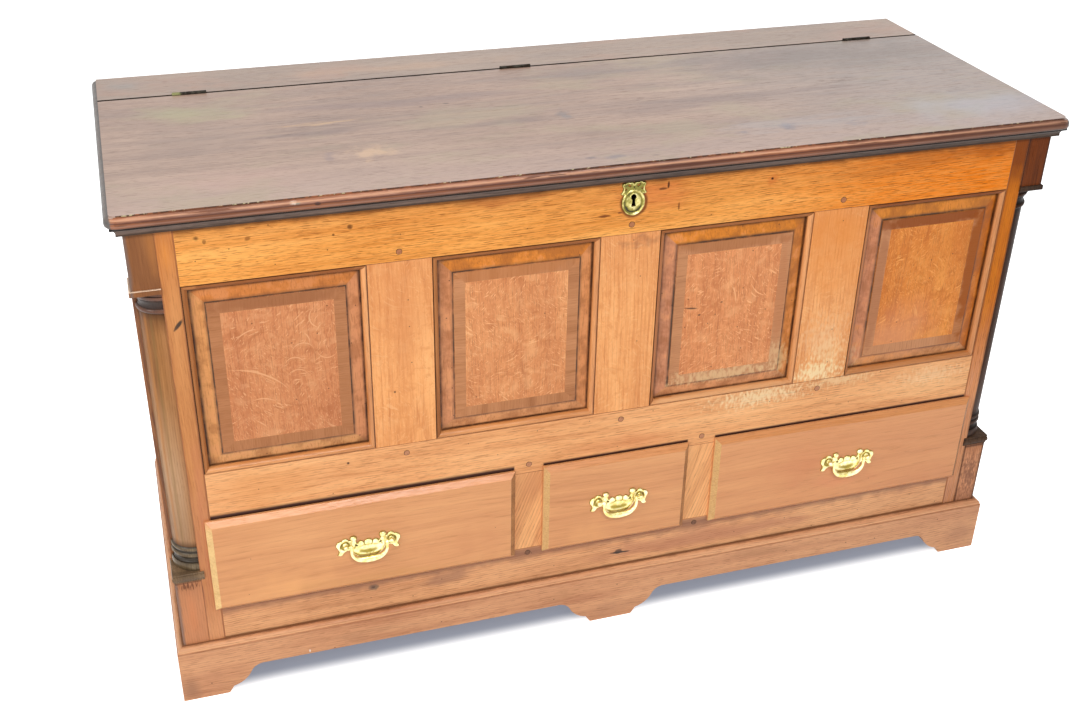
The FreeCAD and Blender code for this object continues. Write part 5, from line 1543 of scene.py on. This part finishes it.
def castPlate(width, height, middleX, middleZ, cell, insideAt, reliefAt):
    # a fine sheet cut to its outline and raised into relief; x, z in mm, its back in y = 0
    bm = bmesh.new()
    layer = bm.verts.layers.float.new("grime")
    bmesh.ops.create_grid(bm, x_segments=round(width / cell), y_segments=round(height / cell), size=0.5)
    bm.verts.ensure_lookup_table()
    x = np.array([v.co.x for v in bm.verts]) * width + middleX
    z = np.array([v.co.y for v in bm.verts]) * height + middleZ
    depth = insideAt(x, z)
    outside = [face for face in bm.faces if sum(depth[v.index] for v in face.verts) <= 0]
    for v in bm.verts:
        v.co = (x[v.index], 0, z[v.index])
    bmesh.ops.delete(bm, geom=outside, context="FACES")
    border = [v for v in bm.verts if v.is_boundary]
    bx = np.array([v.co.x for v in border])
    bz = np.array([v.co.z for v in border])
    nudge = 0.05
    for _ in range(3):
        here = insideAt(bx, bz)
        slopeX = (insideAt(bx + nudge, bz) - insideAt(bx - nudge, bz)) / (2 * nudge)
        slopeZ = (insideAt(bx, bz + nudge) - insideAt(bx, bz - nudge)) / (2 * nudge)
        length = np.maximum(slopeX ** 2 + slopeZ ** 2, 0.3)
        bx = bx - np.clip(here, -cell, cell) * slopeX / length
        bz = bz - np.clip(here, -cell, cell) * slopeZ / length
    for v, atX, atZ in zip(border, bx, bz):
        v.co = (atX, 0, atZ)
    raised = bmesh.ops.extrude_face_region(bm, geom=list(bm.faces))
    front = [item for item in raised["geom"] if isinstance(item, bmesh.types.BMVert)]
    fx = np.array([v.co.x for v in front])
    fz = np.array([v.co.z for v in front])
    rise, tarnishAndShade = reliefAt(fx, fz, np.maximum(insideAt(fx, fz), 0))
    for v in bm.verts:
        v[layer] = 0.6
    for v, up, darkening in zip(front, rise, tarnishAndShade):
        v.co.y = -up
        v[layer] = darkening
    bmesh.ops.scale(bm, vec=(mm, mm, mm), verts=bm.verts)
    bmesh.ops.recalc_face_normals(bm, faces=bm.faces)
    return bm


def addTurned(bm, outline, place, steps, grime=0.0):
    # a small turned shape: (radius, distance) pairs spun round y at a place
    layer = bm.verts.layers.float.get("grime")
    verts = [bm.verts.new(Vector(place) + Vector((radius * mm, distance * mm, 0)))
             for radius, distance in outline]
    edges = [bm.edges.new(pair) for pair in zip(verts, verts[1:])]
    made = bmesh.ops.spin(bm, geom=verts + edges, cent=place, axis=(0, 1, 0), angle=2 * math.pi, steps=steps,
                          use_merge=True, use_duplicate=False)
    last = [v for edge in made["geom_last"] if isinstance(edge, bmesh.types.BMEdge) for v in edge.verts]
    reach = inOrder(last + verts)
    group = dict.fromkeys(reach)
    while reach:
        for edge in reach.pop().link_edges:
            for v in edge.verts:
                if v not in group:
                    group[v] = None
                    reach.append(v)
    for v in group:
        v[layer] = grime
    bmesh.ops.remove_doubles(bm, verts=list(group), dist=1e-6)


def makeHandles():
    points = bothHalves(outlinePoints(plateOutline, 7))

    def insideAt(x, z):
        return insideOutline(points, x, z)

    plate = castPlate(106, 46, 0, -3, handleValues["cell"], insideAt, plateRelief)
    smoothed(plate, 50)
    plateMesh = bpy.data.meshes.new("plateBlank")
    plate.to_mesh(plateMesh)
    plate.free()
    for name, middle in handleValues["middles"].items():
        bm = bmesh.new()
        bm.from_mesh(plateMesh)
        for side in (-1, 1):
            addPost(bm, side)
        bmesh.ops.recalc_face_normals(bm, faces=bm.faces)
        smoothed(bm, 50)
        place = Vector((middle * mm, handleValues["face"] * mm, handleValues["height"] * mm))
        bmesh.ops.translate(bm, vec=place, verts=bm.verts)
        settle(bm, f"handlePlate{name.capitalize()}", [f"handle_{name}_backplate"], ["brass"], weighted=False)
        makeBail(name, place)
    bpy.data.meshes.remove(plateMesh)
    print("handles cast")


def addPost(bm, side):
    # collar, stem and pierced ball on the face, a shank through the front and its nut behind
    x = side * handleValues["pivotSpread"] * mm
    z = handleValues["pivotRise"] * mm
    d = handleValues["pivotDepth"]
    ball = [(4.3 * math.sin(a), -d - 4.3 * math.cos(a)) for a in (math.pi * i / 9 for i in range(0, 8))]
    outline = ball + [(2.4, -d + 3.8), (2.5, -3.2), (3.6, -2.8), (4.0, -1.8), (3.8, -0.6), (3.8, 0.0)]
    outline += [(2.0, 0.0), (2.0, 25.0), (0.0, 25.4)]
    outline[0] = (0.0, -d - 4.3)
    addTurned(bm, outline, (x, 0, z), 18, 0.12)
    nut = bmesh.ops.create_cube(bm, size=1.0, matrix=Matrix.Translation((x, 23.5 * mm, z)) @ Matrix.Diagonal(
        (9 * mm, 3 * mm, 9 * mm, 1)))
    layer = bm.verts.layers.float.get("grime")
    for v in nut["verts"]:
        v[layer] = 0.4
    edges = inOrder(e for v in nut["verts"] for e in v.link_edges)
    rounded(bm, edges, 0.5 * mm)


# the bail hangs from its pins and swells towards the middle
bailValues = {"arm": 28.5, "drop": 29.4, "knee": 13.0, "sides": 16}


def bailLine():
    arm = bailValues["arm"]
    knee = bailValues["knee"]
    drop = bailValues["drop"]
    turn = math.asin(knee / 90)
    sag = 90 * (1 - math.cos(turn))
    radius = (arm - knee) / (1 - math.sin(turn))
    kneeTop = -drop + sag + radius * math.cos(turn)
    centre = arm - radius
    middle = (turn + math.pi / 2) / 2
    kneeMiddle = (centre + radius * math.sin(middle), kneeTop - radius * math.cos(middle))
    half = [(arm, 0.0), (arm, kneeTop * 0.5), (arm, kneeTop)]
    half += arcPoints((arm, kneeTop), kneeMiddle, (knee, -drop + sag), 9)
    half += [(knee * (1 - t), -drop + sag * (1 - t) ** 2) for t in (0.25, 0.5, 0.75, 1.0)]
    return half + [(-x, z) for x, z in reversed(half[:-1])]


def makeBail(name, place):
    bm = bmesh.new()
    line = bailLine()
    pivot = place + Vector((0, -handleValues["pivotDepth"] * mm, handleValues["pivotRise"] * mm))
    loops = []
    for number, (x, z) in enumerate(line):
        before = Vector(line[max(number - 1, 0)])
        after = Vector(line[min(number + 1, len(line) - 1)])
        run = (after - before).normalized()
        swell = math.cos(min(1.0, abs(x) / 30) * math.pi / 2) ** 1.3
        tall = (2.4 + 3.0 * swell) * mm
        thick = (2.2 + 0.9 * swell) * mm
        across = Vector((-run.y, 0, run.x))
        turn = Matrix((across, Vector((0, 1, 0)), Vector((run.x, 0, run.y)))).transposed().to_4x4()
        middle = Matrix.Translation(pivot + Vector((x * mm, 0, z * mm)))
        ring = bmesh.ops.create_circle(bm, cap_ends=False, segments=bailValues["sides"], radius=1.0,
                                       matrix=middle @ turn @ Matrix.Diagonal((tall, thick, 1, 1)))
        loops.append(inOrder(e for v in ring["verts"] for e in v.link_edges))
    for first, second in zip(loops, loops[1:]):
        bmesh.ops.bridge_loops(bm, edges=first + second)
    bmesh.ops.holes_fill(bm, edges=loops[0] + loops[-1], sides=0)
    for side in (-1, 1):
        # a ball at the top of each arm, and the pin that runs into the post
        arm = pivot + Vector((side * bailValues["arm"] * mm, 0, 0))
        bmesh.ops.create_uvsphere(bm, u_segments=16, v_segments=10, radius=3.3 * mm,
                                  matrix=Matrix.Translation(arm))
        pin = Matrix.Translation(arm + Vector((side * 4.6 * mm, 0, 0))) @ Matrix.Rotation(math.pi / 2, 4, "Y")
        bmesh.ops.create_cone(bm, cap_ends=True, segments=14, radius1=1.95 * mm, radius2=1.95 * mm,
                              depth=9.2 * mm, matrix=pin)
    layer = bm.verts.layers.float.new("grime")
    for v in bm.verts:
        v[layer] = 0.12 if v.co.y > pivot.y + 1.2 * mm else 0.0
    bmesh.ops.recalc_face_normals(bm, faces=bm.faces)
    smoothed(bm, 50)
    settle(bm, f"bail{name.capitalize()}", [f"bail_{name}"], ["brass"], weighted=False)


escutcheonValues = {
    "x": 4.0,
    "middleZ": 786.9,
    "halfWidth": 18.4,
    "halfHeight": 21.2,
    "face": -264.9,
    "cell": 0.42,
}

# right half of the ribbon bow from its top, over the oval
bowOutline = [
    (0.0, 29.6), (2.6, 33.0, 6.4, 32.6), (9.6, 34.0, 14.0, 31.6), (18.4, 30.0, 17.8, 25.0),
    (17.4, 19.8, 20.6, 15.6), (18.0, 12.4, 14.0, 13.0), (8.0, 12.0), (0.0, 12.0),
]
keyholeOutline = [(0.0, 12.8), (3.0, 11.6, 4.1, 8.7), (3.5, 6.0, 2.3, 4.8), (2.1, 1.0), (3.3, -5.8),
                  (0.0, -6.2)]


def makeEscutcheon():
    bow = bothHalves(outlinePoints(bowOutline, 7))
    key = bothHalves(outlinePoints(keyholeOutline, 5))
    a = escutcheonValues["halfWidth"]
    b = escutcheonValues["halfHeight"]

    def ovalAt(x, z):
        return (1 - np.sqrt((x / a) ** 2 + (z / b) ** 2)) * (a + b) / 2

    def holesAt(x, z):
        side = np.abs(x)
        curl = 1.35 - distanceTo(side, z, 12.8, 21.6)
        loop = 1.25 - distanceToLine(side, z, 6.0, 26.2, 8.6, 28.0)
        knot = 0.8 - distanceTo(side, z, 0.0, 24.4)
        return np.maximum(np.maximum(curl, loop), knot)

    def insideAt(x, z):
        body = np.maximum(ovalAt(x, z), insideOutline(bow, x, z))
        return np.minimum(np.minimum(body, -holesAt(x, z)), -insideOutline(key, x, z))

    def reliefAt(x, z, inside):
        oval = ovalAt(x, z)
        edge = np.sqrt(1 - (1 - np.clip(inside / 1.3, 0, 1)) ** 2)
        rim = np.exp(-((oval - 1.9) / 1.5) ** 2)
        trough = np.exp(-((oval - 5.4) / 1.9) ** 2)
        boss = step(oval, 7.0, 10.5)
        collar = np.exp(-((-insideOutline(key, x, z) - 1.1) / 0.9) ** 2)
        onBow = step(insideOutline(bow, x, z), 0.0, 1.2) * step(oval, 1.5, -0.5)
        ribbon = np.exp(-((insideOutline(bow, x, z) - 1.7) / 1.0) ** 2) * onBow
        height = 0.8 + 0.5 * edge + 1.5 * rim * (1 - onBow) + 0.9 * boss + 0.7 * collar
        height += 0.9 * ribbon + 0.5 * onBow - 0.35 * trough
        pin = np.exp(-(distanceTo(x, z, 1.0, -10.4) / 1.1) ** 2)
        height += 0.7 * pin
        tarnishAndShade = 0.55 * trough + 0.35 * step(oval, 3.4, 6.0) * step(z, -3.0, -9.0)
        # the step at the outline is painted shade
        tarnishAndShade += 0.5 * onBow * (1 - ribbon) + 0.35 * step(inside, 0.8, 0.1)
        tarnishAndShade = tarnishAndShade * (1 - pin) * (1 - 0.7 * collar) * (1 - 0.75 * boss * step(z, -8.0, 0.0))
        return height, np.clip(tarnishAndShade, 0, 1)

    bm = castPlate(44, 58, 0, 8, escutcheonValues["cell"], insideAt, reliefAt)
    smoothed(bm, 60)
    place = Vector((escutcheonValues["x"], escutcheonValues["face"], escutcheonValues["middleZ"])) * mm
    bmesh.ops.translate(bm, vec=place, verts=bm.verts)
    settle(bm, "escutcheonPlate", ["escutcheon"], ["oldBrass"], weighted=False)
    print("escutcheon cast")


makePegs()
makeHandles()
makeEscutcheon()

print("all pieces made")
